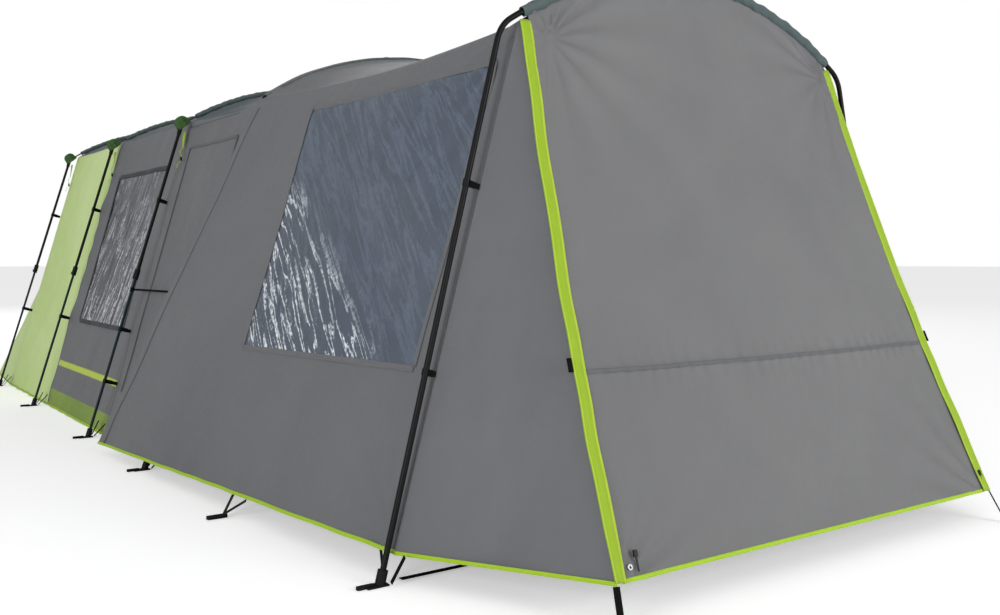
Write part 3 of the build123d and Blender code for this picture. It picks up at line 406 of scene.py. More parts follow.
# ---- Finishes -------------------------------------------------------------------------------
@dataclass
class Graph:
    """A node tree with short ways to add and join its nodes.

    Attributes:
        tree: the node tree.
    """

    tree: bpy.types.NodeTree

    def add(self, kind: str, inputs: dict | None = None, **settings) -> bpy.types.Node:
        """A new node.

        Args:
            kind: the node's type name without its Shader prefix, or a full type name.
            inputs: socket name or number to a value, or to an output socket to link from.
            settings: attributes to set on the node.

        Returns:
            The node.
        """
        node = self.tree.nodes.new(kind if kind.startswith("Node") else "ShaderNode" + kind)
        for key, value in settings.items():
            setattr(node, key, value)
        for key, value in (inputs or {}).items():
            if isinstance(value, bpy.types.NodeSocket):
                self.tree.links.new(value, node.inputs[key])
            else:
                node.inputs[key].default_value = value
        return node

    def math(self, operation: str, *values, clamp: bool = False) -> bpy.types.NodeSocket:
        """The output of a Math node over these values or sockets."""
        node = self.add("Math", dict(enumerate(values)), operation=operation, use_clamp=clamp)
        return node.outputs[0]

    def noise(self, vector: bpy.types.NodeSocket, scale: float, detail: float = 2.0, rough: float = 0.5,
              warp: float = 0.0, **settings) -> bpy.types.NodeSocket:
        """The value of a Noise node read at a vector."""
        inputs = {"Vector": vector, "Scale": scale, "Detail": detail, "Roughness": rough, "Distortion": warp}
        return self.add("TexNoise", inputs, **settings).outputs[0]

    def ramp(self, value: bpy.types.NodeSocket, low: float, high: float, start: float = 0.0,
             stop: float = 1.0) -> bpy.types.NodeSocket:
        """A value stretched from one range to another and held inside it."""
        return self.add("MapRange", {0: value, 1: low, 2: high, 3: start, 4: stop}).outputs[0]

    def blend(self, amount, one, two, mode: str = "MIX") -> bpy.types.NodeSocket:
        """The output of a colour Mix node between one and two.

        Args:
            amount: share of two.
            one: a colour or socket.
            two: a colour or socket.
            mode: blend type.

        Returns:
            The colour socket.
        """
        node = self.add("Mix", data_type="RGBA", blend_type=mode)
        for index, value in ((0, amount), (6, one), (7, two)):
            if isinstance(value, bpy.types.NodeSocket):
                self.tree.links.new(value, node.inputs[index])
            elif index == 0:
                node.inputs[index].default_value = value
            else:
                node.inputs[index].default_value = (*value[:3], 1.0)
        return node.outputs[2]


def group_tree(name: str, inputs: dict[str, str], outputs: dict[str, str]) -> Graph:
    """An empty shader node group with these sockets, each name to its socket type.

    Args:
        name: name of the group.
        inputs: input sockets.
        outputs: output sockets.

    Returns:
        Its graph.
    """
    tree = bpy.data.node_groups.new(name, "ShaderNodeTree")
    for in_out, sockets in (("INPUT", inputs), ("OUTPUT", outputs)):
        for label, kind in sockets.items():
            tree.interface.new_socket(name=label, in_out=in_out, socket_type="NodeSocket" + kind)
    return Graph(tree)


def cloth_group() -> bpy.types.NodeTree:
    """The shared look of coated cloth.

    Args as sockets: place on the sheet in metres, main and shaded colours, and how strong the
    creases, the soft rumples and the weave are. A slow noise mottles the colour, a ridged noise
    makes the creases, a stretched one the rumples, and two crossed waves with a wider grid of
    stronger threads make the weave.

    Returns:
        The node group.
    """
    graph = group_tree("coated_cloth",
                       {"Vector": "Vector", "Colour": "Color", "Shade": "Color", "Crease": "Float",
                        "Rumple": "Float", "Weave": "Float"},
                       {"Colour": "Color", "Roughness": "Float", "Normal": "Vector"})
    given = graph.add("NodeGroupInput").outputs
    flat = given["Vector"]
    slow = graph.noise(flat, 0.9, 5.0, 0.55, 0.6)
    dust = graph.noise(flat, 38.0, 4.0)
    ridge = graph.noise(flat, 3.2, 5.0, 0.45, 0.9, noise_type="RIDGED_MULTIFRACTAL", normalize=True)
    turned = graph.add("Mapping", {"Vector": flat, "Rotation": (0.0, 0.0, 0.5), "Scale": (0.15, 0.6, 1.0)},
                       vector_type="TEXTURE").outputs[0]
    rumple = graph.noise(turned, 1.0, 3.0, warp=0.5)
    warp = graph.add("TexWave", {"Vector": given["Vector"], "Scale": 520.0}, bands_direction="X").outputs[1]
    weft = graph.add("TexWave", {"Vector": given["Vector"], "Scale": 520.0}, bands_direction="Y").outputs[1]
    rip = graph.add("TexBrick", {"Vector": given["Vector"], "Scale": 1.0, "Mortar Size": 0.0007,
                                 "Brick Width": 0.006,
                                 "Row Height": 0.006, "Color1": (0, 0, 0, 1), "Color2": (0, 0, 0, 1),
                                 "Mortar": (1, 1, 1, 1)}, offset=0.0).outputs[0]
    threads = graph.math("ADD", graph.math("MULTIPLY", warp, weft), rip)
    amount = graph.ramp(slow, 0.32, 0.68)
    mixed = graph.blend(amount, given["Colour"], given["Shade"])
    flecked = graph.blend(graph.math("MULTIPLY", dust, 0.12), mixed, paint(205, 208, 212), "SOFT_LIGHT")
    height = graph.math("ADD", graph.math("MULTIPLY", ridge, given["Crease"]),
                        graph.math("MULTIPLY", rumple, given["Rumple"]))
    height = graph.math("ADD", height, graph.math("MULTIPLY", threads, given["Weave"]))
    bump = graph.add("Bump", {"Strength": 1.0, "Distance": 0.01, "Height": height})
    rough = graph.ramp(dust, 0.3, 0.7, 0.47, 0.6)
    graph.add("NodeGroupOutput", {"Colour": flecked, "Roughness": rough, "Normal": bump.outputs[0]})
    return graph.tree


def stitch_group() -> bpy.types.NodeTree:
    """Rows of stitches near both edges of a strip, from its UV: u along in metres, v across 0 to 1.

    Returns:
        A node group that gives a mask of the threads.
    """
    sockets = {"Vector": "Vector", "Inset": "Float", "Half": "Float", "Pitch": "Float"}
    graph = group_tree("stitch_rows", sockets, {"Mask": "Float"})
    given = graph.add("NodeGroupInput").outputs
    parts = graph.add("SeparateXYZ", {0: given["Vector"]}).outputs
    dash = graph.math("LESS_THAN", graph.math("FRACT", graph.math("DIVIDE", parts[0], given["Pitch"])), 0.62)
    edge = graph.math("MINIMUM", parts[1], graph.math("SUBTRACT", 1.0, parts[1]))
    away = graph.math("ABSOLUTE", graph.math("SUBTRACT", edge, given["Inset"]))
    row = graph.math("LESS_THAN", away, given["Half"])
    graph.add("NodeGroupOutput", {"Mask": graph.math("MULTIPLY", dash, row)})
    return graph.tree


GROUPS: dict[str, bpy.types.NodeTree] = {}


def shared(name: str) -> bpy.types.NodeTree:
    """The shared node group of this name, made on first use.

    Args:
        name: cloth or stitch.

    Returns:
        The node group.
    """
    makers = {"cloth": cloth_group, "stitch": stitch_group}
    if name not in GROUPS:
        GROUPS[name] = makers[name]()
    return GROUPS[name]


def new_material(name: str) -> tuple[bpy.types.Material, Graph, bpy.types.Node]:
    """An empty material with its graph and its Principled shader.

    Args:
        name: name of the finish.

    Returns:
        The material, its graph and its shader.
    """
    material = bpy.data.materials.new(f"{name}_finish")
    material.use_nodes = True
    return material, Graph(material.node_tree), material.node_tree.nodes["Principled BSDF"]


@dataclass(frozen=True)
class ClothFinish:
    """Coated tent cloth.

    Attributes:
        name: name of the material.
        colour: main colour.
        shade: colour of its darker patches.
        crease: height of sharp creases.
        rumple: height of soft rumples.
        weave: height of the threads.
        sheen: sheen weight.
        gloss: specular level.
    """

    name: str
    colour: Colour
    shade: Colour
    crease: float = 0.35
    rumple: float = 0.5
    weave: float = 0.02
    sheen: float = 0.08
    gloss: float = 0.45

    def build(self) -> bpy.types.Material:
        """Build the finish and its nodes.

        Returns:
            The material.
        """
        material, graph, shader = new_material(self.name)
        place = graph.add("UVMap", uv_map="UVMap").outputs[0]
        look = graph.add("Group", node_tree=shared("cloth"))
        graph.tree.links.new(place, look.inputs["Vector"])
        look.inputs["Colour"].default_value = (*self.colour, 1.0)
        look.inputs["Shade"].default_value = (*self.shade, 1.0)
        for key, value in (("Crease", self.crease), ("Rumple", self.rumple), ("Weave", self.weave)):
            look.inputs[key].default_value = value
        graph.tree.links.new(look.outputs["Colour"], shader.inputs["Base Color"])
        graph.tree.links.new(look.outputs["Roughness"], shader.inputs["Roughness"])
        graph.tree.links.new(look.outputs["Normal"], shader.inputs["Normal"])
        shader.inputs["Sheen Weight"].default_value = self.sheen
        shader.inputs["Sheen Roughness"].default_value = 0.5
        shader.inputs["Specular IOR Level"].default_value = self.gloss
        return material


@dataclass(frozen=True)
class StripFinish:
    """Webbing, hem tape or a zip cover, with ribs along it and stitches near its edges.

    Attributes:
        name: name of the material.
        colour: main colour.
        second: colour of the band along one edge; on the zip cover it is a painted highlight.
        band: share of the width that the band takes.
        thread: colour of the stitches.
        ribs: ribs across the width.
        pitch: length of one stitch with its gap.
        inset: place of the stitch rows, as a share of the width.
        rough: roughness.
    """

    name: str
    colour: Colour
    second: Colour
    band: float = 0.0
    thread: Colour = (0.4, 0.5, 0.05)
    ribs: float = 6.0
    pitch: float = 0.006
    inset: float = 0.1
    rough: float = 0.6

    def build(self) -> bpy.types.Material:
        """Build the finish and its nodes.

        Returns:
            The material.
        """
        material, graph, shader = new_material(self.name)
        place = graph.add("UVMap", uv_map="UVMap").outputs[0]
        parts = graph.add("SeparateXYZ", {0: place}).outputs
        stitch = graph.add("Group", node_tree=shared("stitch"))
        graph.tree.links.new(place, stitch.inputs["Vector"])
        for key, value in (("Inset", self.inset), ("Half", 0.025), ("Pitch", self.pitch)):
            stitch.inputs[key].default_value = value
        wear = graph.noise(place, 14.0, 6.0, 0.6)
        drawn = graph.add("Mapping", {"Vector": place, "Scale": (24.0, 0.6, 1.0)}).outputs[0]
        fold = graph.noise(drawn, 1.0)
        # The band along one edge is a painted highlight; only the zip cover has one.
        in_highlight_band = graph.math("LESS_THAN", parts[1], self.band)
        base = graph.blend(in_highlight_band, self.colour, self.second)
        dull = tuple(0.62 * x for x in self.colour)
        worn = graph.blend(graph.ramp(wear, 0.35, 0.75, 0.0, 0.45), base, dull)
        sewn = graph.blend(stitch.outputs[0], worn, self.thread)
        rib = graph.math("SINE", graph.math("MULTIPLY", parts[1], 2.0 * math.pi * self.ribs))
        weft = graph.math("SINE", graph.math("MULTIPLY", parts[0], 2.0 * math.pi / 0.0016))
        height = graph.math("ADD", graph.math("MULTIPLY", rib, 0.03), graph.math("MULTIPLY", weft, 0.015))
        height = graph.math("ADD", height, graph.math("MULTIPLY", fold, 0.35))
        height = graph.math("SUBTRACT", height, graph.math("MULTIPLY", stitch.outputs[0], 0.08))
        bump = graph.add("Bump", {"Strength": 0.8, "Distance": 0.006, "Height": height})
        graph.tree.links.new(sewn, shader.inputs["Base Color"])
        graph.tree.links.new(bump.outputs[0], shader.inputs["Normal"])
        shader.inputs["Roughness"].default_value = self.rough
        shader.inputs["Sheen Weight"].default_value = 0.12
        return material


@dataclass(frozen=True)
class FilmFinish:
    """Window film: glossy, half clear and creased, with painted highlight streaks along its folds and painted
    sheen on its crumples and creases.

    Attributes:
        name: name of the material.
        colour: tint; on the clear film it is painted shade, the dark inside of the tent seen through it.
        highlight_colour: colour of the painted highlight streaks.
        cover: how much of what is behind is hidden.
        turn: direction of the folds on the sheet, in radians.
        amount: how many folds carry painted highlight streaks, 0 to 1.
    """

    name: str
    colour: Colour
    highlight_colour: Colour
    cover: float
    turn: float
    amount: float

    def build(self) -> bpy.types.Material:
        """Build the finish and its nodes.

        Returns:
            The material.
        """
        material, graph, shader = new_material(self.name)
        place = graph.add("UVMap", uv_map="UVMap").outputs[0]
        drawn = graph.add("Mapping", {"Vector": place, "Rotation": (0.0, 0.0, self.turn),
                                      "Scale": (1 / 17.0, 1 / 1.7, 1.0)}, vector_type="TEXTURE").outputs[0]
        fold = graph.noise(drawn, 1.0, 5.0, 0.6, 0.7)
        crumple = graph.noise(place, 7.0, 4.0, warp=1.2)
        grain = graph.noise(place, 60.0, 5.0, warp=0.6)
        low = graph.add("Attribute", attribute_name="slack").outputs["Fac"]
        ridge = graph.math("ABSOLUTE", graph.math("MULTIPLY_ADD", fold, 7.0, -3.5))
        ridge = graph.math("SUBTRACT", 1.0, ridge)
        # Painted highlight: pale streaks on the fold ridges, where light would glint, placed by the slack
        # attribute.
        peak = graph.ramp(graph.math("MULTIPLY_ADD", grain, 0.9, ridge), 1.18, 1.45)
        where = graph.ramp(graph.math("MULTIPLY", crumple, low), 0.12, 0.34)
        painted_highlight = graph.math("MULTIPLY", graph.math("MULTIPLY", peak, where), self.amount, clamp=True)
        # Painted sheen: the film's colour is lifted towards a lighter copy of itself on its crumples and
        # creases.
        crease = graph.ramp(graph.math("MULTIPLY_ADD", grain, 0.8, ridge), 0.95, 1.5, 0.0, 0.5)
        painted_sheen = graph.math("MULTIPLY_ADD", crumple, 0.45, crease, clamp=True)
        base = graph.blend(painted_sheen, self.colour, tuple(min(2.4 * x, 1.0) for x in self.colour))
        colour = graph.blend(painted_highlight, base, self.highlight_colour)
        height = graph.math("ADD", graph.math("MULTIPLY", fold, graph.math("MULTIPLY_ADD", low, 0.5, 0.12)),
                            graph.math("MULTIPLY", crumple, 0.35))
        height = graph.math("MULTIPLY_ADD", grain, 0.035, height)
        bump = graph.add("Bump", {"Strength": 1.0, "Distance": 0.012, "Height": height})
        cover = graph.math("ADD", graph.math("MULTIPLY", painted_highlight, 1.0 - self.cover), self.cover, clamp=True)
        graph.tree.links.new(colour, shader.inputs["Base Color"])
        graph.tree.links.new(cover, shader.inputs["Alpha"])
        graph.tree.links.new(bump.outputs[0], shader.inputs["Normal"])
        shader.inputs["Roughness"].default_value = 0.14
        shader.inputs["Specular IOR Level"].default_value = 0.6
        shader.inputs["Coat Weight"].default_value = 0.2
        shader.inputs["Coat Roughness"].default_value = 0.05
        return material


@dataclass(frozen=True)
class HardFinish:
    """Moulded plastic, coated tube or plated metal.

    Attributes:
        name: name of the material.
        colour: main colour.
        worn: colour of rubbed places.
        rough: least roughness.
        metal: metallic value.
        grain: size of the surface texture, as noise scale.
        bump: its height.
        wear: share of the surface that is rubbed.
        shine: specular level.
    """

    name: str
    colour: Colour
    worn: Colour
    rough: float = 0.4
    metal: float = 0.0
    grain: float = 420.0
    bump: float = 0.15
    wear: float = 0.25
    shine: float = 0.5

    def build(self) -> bpy.types.Material:
        """Build the finish and its nodes.

        Returns:
            The material.
        """
        material, graph, shader = new_material(self.name)
        place = graph.add("TexCoord").outputs["Object"]
        fine = graph.noise(place, self.grain, 3.0)
        slow = graph.noise(place, 9.0, 6.0, 0.7)
        drawn = graph.add("Mapping", {"Vector": place, "Scale": (90.0, 90.0, 5.0)}).outputs[0]
        scratch = graph.noise(drawn, 1.0, 4.0)
        mask = graph.ramp(graph.math("MULTIPLY", slow, scratch), 0.30, 0.42, 0.0, self.wear)
        colour = graph.blend(mask, self.colour, self.worn)
        rough = graph.ramp(slow, 0.3, 0.7, self.rough, self.rough + 0.18)
        bump = graph.add("Bump", {"Strength": self.bump, "Distance": 0.001, "Height": fine})
        graph.tree.links.new(colour, shader.inputs["Base Color"])
        graph.tree.links.new(rough, shader.inputs["Roughness"])
        graph.tree.links.new(bump.outputs[0], shader.inputs["Normal"])
        shader.inputs["Metallic"].default_value = self.metal
        shader.inputs["Specular IOR Level"].default_value = self.shine
        return material


class Stuff(Enum):
    """Every finish of the tent."""

    GREY = ClothFinish("grey_coated_cloth", paint(112, 113, 116), paint(103, 104, 108))
    # The front cloth is a lighter copy of the grey cloth: painted light on the front panel, which faces the
    # lamps.
    FRONT = ClothFinish("front_cloth_painted_lighter", paint(118, 118, 119), paint(109, 109, 111), crease=0.3,
                        rumple=0.6)
    SLATE = ClothFinish("slate_coated_cloth", paint(66, 82, 89), paint(54, 69, 76), crease=0.5)
    SLEEVE = ClothFinish("sleeve_cloth", paint(84, 100, 98), paint(66, 82, 84), crease=0.9, rumple=0.9)
    GREEN = ClothFinish("light_green_cloth", paint(222, 244, 168), paint(200, 228, 138), crease=0.4)
    MUD = ClothFinish("mud_band_cloth", paint(142, 170, 60), paint(122, 150, 44), crease=0.7)
    CAP = ClothFinish("corner_cap_cloth", paint(48, 96, 10), paint(26, 62, 5), crease=0.5, rumple=0.4,
                      gloss=0.5)
    INNER = ClothFinish("inner_cloth", paint(222, 222, 214), paint(206, 206, 198), weave=0.04, gloss=0.2)
    FLOOR = ClothFinish("woven_floor_sheet", paint(96, 101, 106), paint(80, 86, 92), weave=0.12, gloss=0.3)
    DARK = ClothFinish("dark_binding", paint(40, 44, 48), paint(28, 32, 36), crease=0.2, rumple=0.2)
    HEM = StripFinish("lime_hem_tape", paint(168, 208, 10), paint(150, 188, 8), thread=paint(190, 220,
                                                                                             60), ribs=4.0)
    # The zip cover's paler band along one edge is a painted highlight on its fold.
    ZIP = StripFinish("lime_zip_cover", paint(150, 184, 0), paint(192, 218, 20), band=0.27,
                      thread=paint(196, 218, 90), ribs=2.0, inset=0.07)
    TAPE = StripFinish("lime_reflective_tape", paint(206, 226, 40), paint(206, 226, 40),
                       thread=paint(120, 140, 60), ribs=9.0, rough=0.35)
    LIME = StripFinish("lime_webbing", paint(176, 212, 20), paint(176, 212, 20), thread=paint(140, 170, 20))
    SEAM = StripFinish("seam_tape", paint(96, 98, 101), paint(96, 98, 101), thread=paint(74, 76, 80),
                       ribs=2.0,
                       pitch=0.008, inset=0.2)
    # Both films carry painted highlight streaks on their folds.
    FILM = FilmFinish("clear_window_film", paint(72, 82, 96), paint(240, 245, 250), 0.86, 0.82, 1.0)
    # The clear film's dark blue-grey colour and high cover are painted shade of the dark inside of the tent
    # behind it.
    TINTED = FilmFinish("tinted_window_film", paint(48, 52, 61), paint(236, 240, 246), 0.93, -0.25, 0.9)
    TUBE = HardFinish("black_coated_tube", paint(12, 12, 14), paint(26, 27, 30), rough=0.36, grain=260.0,
                      shine=0.18)
    TEAL = HardFinish("teal_coated_tube", paint(10, 36, 40), paint(30, 54, 58), rough=0.36, grain=260.0,
                      shine=0.2)
    PLASTIC = HardFinish("black_plastic", paint(14, 14, 15), paint(30, 30, 32), rough=0.5, bump=0.3,
                         shine=0.2)
    STRAP = HardFinish("woven_black_strap", paint(15, 15, 16), paint(34, 34, 36), rough=0.75, grain=900.0,
                       bump=0.6, shine=0.1)
    BUTTON = HardFinish("button_plastic", paint(66, 68, 72), paint(96, 98, 100), rough=0.3)
    ROD = HardFinish("fibreglass_rod", paint(46, 48, 50), paint(80, 82, 84), rough=0.35)
    ZIPPER = HardFinish("zip_metal", paint(46, 46, 48), paint(92, 92, 94), rough=0.42, metal=0.7)
    EYELET = HardFinish("eyelet_metal", paint(190, 190, 192), paint(120, 120, 120), rough=0.25, metal=1.0)
    CORD = StripFinish("braided_line", paint(26, 26, 28), paint(26, 26, 28), thread=paint(60, 60, 60))

    def material(self) -> bpy.types.Material:
        """The finish's material, made on first use."""
        found = bpy.data.materials.get(f"{self.value.name}_finish")
        return found if found else self.value.build()


def dress(piece: bpy.types.Object, *stuffs: Stuff) -> bpy.types.Object:
    """Give a piece these finishes as its material slots, in order.

    Args:
        piece: the piece.
        stuffs: its finishes.

    Returns:
        The piece.
    """
    if len(piece.data.materials) == len(stuffs):
        for index, stuff in enumerate(stuffs):
            piece.data.materials[index] = stuff.material()
    else:
        for stuff in stuffs:
            piece.data.materials.append(stuff.material())
    return piece


def place(piece: bpy.types.Object, body: str, *nodes: str, slot: str | None = None) -> bpy.types.Object:
    """Fix a piece to a body, let it stand for CAD nodes, and log it.

    Args:
        piece: the piece, in the row frame.
        body: body it rides on.
        nodes: CAD nodes it replaces.
        slot: the record's material slot; not used.

    Returns:
        The piece.
    """
    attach(piece, body)
    if nodes:
        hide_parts(*nodes)
    log.info("built %s on %s", piece.name, body)
    return piece


# ---- Sizes ----------------------------------------------------------------------------------
def edges(node: str) -> tuple[np.ndarray, np.ndarray]:
    """Lowest and highest corner of a CAD node, as arrays."""
    low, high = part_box(node)
    return np.array(low), np.array(high)


@dataclass(frozen=True)
class Sizes:
    """Places that the pieces share, read from the frame.

    Attributes:
        y_porch: station of the porch hoop.
        y_front: where the main walls' front edge meets the ground.
        y_hub: station of the front hub and roof edge.
        y_door: station of the door hoop.
        y_window: station of the window hoop.
        y_rear: station of the rear hoop.
        y_end: rear hem.
        centre: height of the roof arcs' centre.
        skin: radius of the main roof cloth.
        pole: radius of the roof poles' line.
        top_x: half-width at the main wall's top.
        top_z: height of the main wall's top.
        foot_x: half-width at the main wall's foot.
    """

    y_porch: float
    y_front: float
    y_hub: float
    y_door: float
    y_window: float
    y_rear: float
    y_end: float
    centre: float
    skin: float
    pole: float
    top_x: float
    top_z: float
    foot_x: float

    @classmethod
    def read(cls) -> "Sizes":
        """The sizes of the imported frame.

        Returns:
            The sizes.
        """
        roof_low, roof_high = edges("main_roof")
        bed_low, bed_high = edges("bed_walls")
        window_low, _ = edges("window_walls")
        mud_low, _ = edges("mud_bands")
        arch_low, arch_high = edges("porch_arch")
        _, rear_high = edges("rear_wall")
        _, poles_high = edges("roof_poles")
        half = roof_high[0] + SEAM
        skin = cls.radius(roof_high[0], roof_high[2] - roof_low[2])
        centre = roof_high[2] - skin
        pole = poles_high[2] - ROD_RADIUS - centre
        return cls(
            y_porch=(arch_low[1] + arch_high[1]) / 2, y_front=mud_low[1] + 0.010, y_hub=roof_low[1],
            y_door=window_low[1] - SEAM, y_window=bed_low[1] - SEAM, y_rear=roof_high[1], y_end=rear_high[1],
            centre=centre, skin=skin, pole=pole, top_x=half,
            top_z=centre + math.sqrt(skin**2 - half**2), foot_x=bed_high[0])

    @staticmethod
    def radius(half: float, rise: float) -> float:
        """Radius of an arc with this half-width and rise."""
        return (half**2 + rise**2) / (2.0 * rise)

    def wall_x(self, z: np.ndarray) -> np.ndarray:
        """Half-width of the main wall at a height."""
        return self.top_x + (self.foot_x - self.top_x) * (self.top_z - z) / self.top_z

    def arc_z(self, radius: float, x: np.ndarray) -> np.ndarray:
        """Height of a roof arc at a distance from the middle."""
        return self.centre + np.sqrt(radius**2 - x**2)


def leg_line(hoop: str, side: str) -> tuple[np.ndarray, np.ndarray]:
    """A point on a leg's axis and its upward direction, from the lower leg's box and joint.

    Args:
        hoop: name of the hoop.
        side: left or right.

    Returns:
        The point and the direction.
    """
    low, high = edges(f"lower_leg_{hoop}_{side}")
    joint = JOINTS[f"leg_slide_{hoop}_{side}"]
    return (low + high) / 2, np.array(joint["axis"], float)


def on_leg(hoop: str, side: str, z: float) -> np.ndarray:
    """The point of a leg's axis at a height."""
    point, up = leg_line(hoop, side)
    return point + up * ((z - point[2]) / up[2])


# ---- Main tent ------------------------------------------------------------------------------
@dataclass
class MainTent:
    """The main cloth: one sheet over all hoops, its windows, door flap, rear end and sleeves.

    Attributes:
        s: shared sizes.
        pitch: spacing of its grid.
        sag: how far the roof dips between hoops.
        heights: named heights on the walls.
        front_dip: how much more the front bay dips.
    """

    s: Sizes
    pitch: float = 0.024
    sag: float = 0.014
    heights: dict[str, float] = field(default_factory=dict)
    front_dip: float = 3.4

    def __post_init__(self) -> None:
        """Read the windows', the door's and the mud band's places."""
        pane_low, pane_high = edges("main_windows")
        door_low, door_high = edges("side_door")
        _, mud_high = edges("mud_bands")
        self.heights = {"hem": 0.006, "mud": mud_high[2] + SEAM, "door_low": door_low[2] - 0.002,
                        "pane_low": pane_low[2] - 0.002, "pane_high": pane_high[2] + 0.002,
                        "door_high": door_high[2] + 0.002, "top": self.s.top_z}
        self.pane_y = (pane_low[1] - 0.002, pane_high[1] + 0.002)
        self.door_y = (door_low[1] - 0.002, door_high[1] + 0.002)

    def base(self, y: np.ndarray, s: np.ndarray) -> np.ndarray:
        """The unsagged skin: straight leaning walls and a round roof.

        Args:
            y: station, taken at the front edge to lean with the front legs.
            s: place round the section: -2 to -1 up the left wall, -1 to 1 over the roof, 1 to 2
                down the right wall.

        Returns:
            Points in the shape of y and s with three numbers each.
        """
        y, s = np.broadcast_arrays(y, s)
        share = np.clip(2.0 - np.abs(s), 0.0, 1.0)
        z_wall = self.heights["hem"] + (self.s.top_z - self.heights["hem"]) * share
        angle = np.clip(s, -1.0, 1.0) * math.asin(self.s.top_x / self.s.skin)
        on_wall = np.abs(s) > 1.0
        x = np.where(on_wall, np.sign(s) * self.s.wall_x(z_wall), self.s.skin * np.sin(angle))
        z = np.where(on_wall, z_wall, self.s.centre + self.s.skin * np.cos(angle))
        rake = (self.s.y_front - self.s.y_hub) * (1.0 - np.clip(z / self.s.top_z, 0.0, 1.0))
        lean = np.clip((self.s.y_door - y) / (self.s.y_door - self.s.y_hub), 0.0, 1.0)
        return np.stack([x, y + rake * lean, z], -1)

    def section(self, z: float) -> float:
        """The place round the section of a height on the right-hand wall."""
        return 2.0 - (z - self.heights["hem"]) / (self.s.top_z - self.heights["hem"])

    def surface(self, y: np.ndarray, s: np.ndarray) -> np.ndarray:
        """The sagged and wrinkled skin: each bay dips between its hoops, folds run down from the
        clips and corners, and the cloth is pulled out a little at each clip.

        Args:
            y: stations.
            s: places round the section.

        Returns:
            Points with three numbers each.
        """
        points = self.base(y, s)
        y, s = np.broadcast_arrays(y, s)
        low, high = self.base(y, s - 1e-3), self.base(y, s + 1e-3)
        fore = self.base(y + 1e-3, s) - self.base(y - 1e-3, s)
        normal = np.cross(fore, high - low)
        normal = -normal / np.linalg.norm(normal, axis=-1, keepdims=True)
        normal = np.where((normal[..., 2] < 0)[..., None], -normal, normal)
        sink = np.zeros(y.shape)
        stops = (self.s.y_hub, self.s.y_door, self.s.y_window, self.s.y_rear)
        for start, stop in zip(stops, stops[1:]):
            sink = sink + hump((y - start) / (stop - start)) * (y >= start) * (y < stop)
        near = np.min([np.abs(y - stop) for stop in stops], axis=0)
        roofness = ease((1.15 - np.abs(s)) / 0.3)
        folds = 0.0035 * waves(y, np.abs(s) * 1.9, 5, 0.5, 0.16, turn=1.2) * np.clip(near / 0.2, 0, 1)
        pucker = np.sin(s * 46.0 + 3.0 * np.sin(s * 9.0)) * bell(near, 0.06) * 0.0025
        clips = np.zeros(y.shape)
        for z in (1.400, 0.630):
            clips = clips + bell(near, 0.09) * bell(np.abs(s) - self.section(z), 0.05)
        hem = bell(points[..., 2], 0.10) * np.sin(y * 21.0 + 2.0 * np.sin(y * 5.0)) * 0.004
        front_bay = 1.0 + self.front_dip * ease((self.s.y_door - y) / 0.2)
        push = -self.sag * front_bay * sink * roofness
        push = push - 0.011 * sink * (1.0 - roofness) * hump(2.0 - np.abs(s))
        push = push + folds * (1.0 - 0.5 * roofness) + pucker + 0.010 * clips + hem * (np.abs(s) > 1.0)
        edge = np.clip(np.minimum(np.abs(y - self.s.y_rear), np.abs(y - self.s.y_hub)) / 0.05, 0.0, 1.0)
        return points + normal * (push * edge)[..., None]

    def columns(self, pitch: float) -> tuple[np.ndarray, list[int]]:
        """Stations of the grid and the places of its knots."""
        return steps([self.s.y_hub, self.door_y[0], self.door_y[1], self.s.y_door, self.pane_y[0],
                      self.pane_y[1], self.s.y_window, self.s.y_rear], pitch)

    def rows(self, pitch: float) -> np.ndarray:
        """Places round the section, left hem to right, with the openings' heights among them.

        Args:
            pitch: wanted spacing.

        Returns:
            The places.
        """
        order = ("hem", "mud", "door_low", "pane_low", "pane_high", "door_high", "top")
        wall, _ = steps(sorted(self.section(self.heights[key]) for key in order), pitch / 1.95)
        roof, _ = steps([-1.0, 1.0], pitch / 0.92)
        return np.concatenate([-wall[::-1], roof[1:-1], wall])

    def skin(self) -> None:
        """The sheet over walls and roof, coloured by bay, with openings for windows and door."""
        y, ky = self.columns(self.pitch)
        s = self.rows(self.pitch)
        points = self.surface(y[None, :], s[:, None])
        mid = (np.abs(s[1:]) + np.abs(s[:-1])) / 2.0
        keep = np.ones((len(s) - 1, len(y) - 1), bool)
        slots = np.zeros(keep.shape, int)
        slots[mid > 1.0] = 1
        slots[np.ix_(mid > 1.0, np.arange(ky[6], ky[7]))] = 2
        slots[np.ix_(mid > self.section(self.heights["mud"]), np.arange(0, ky[6]))] = 3
        openings = (("pane_low", "pane_high", -1, 4, 5), ("pane_high", "pane_low", 1, 4, 5),
                    ("door_low", "door_high", -1, 1, 2))
        for start, stop, side, fore, back in openings:
            first, last = (self.row_at(s, side * self.heights[key]) for key in (start, stop))
            keep[first:last, ky[fore]:ky[back]] = False
        sheet = Sheet("main_skin", points, keep=keep, slots=slots)
        piece = dress(sheet.build(), Stuff.SLATE, Stuff.GREY, Stuff.GREEN, Stuff.MUD)
        place(piece, "tent", "main_roof", "bed_walls", "window_walls", "door_walls", "mud_bands",
              slot="grey_cloth")

    def row_at(self, s: np.ndarray, z: float) -> int:
        """The grid row at a height on the right wall, or on the left wall if z is negative."""
        wanted = math.copysign(self.section(abs(z)), z)
        return int(np.argmin(np.abs(s - wanted)))

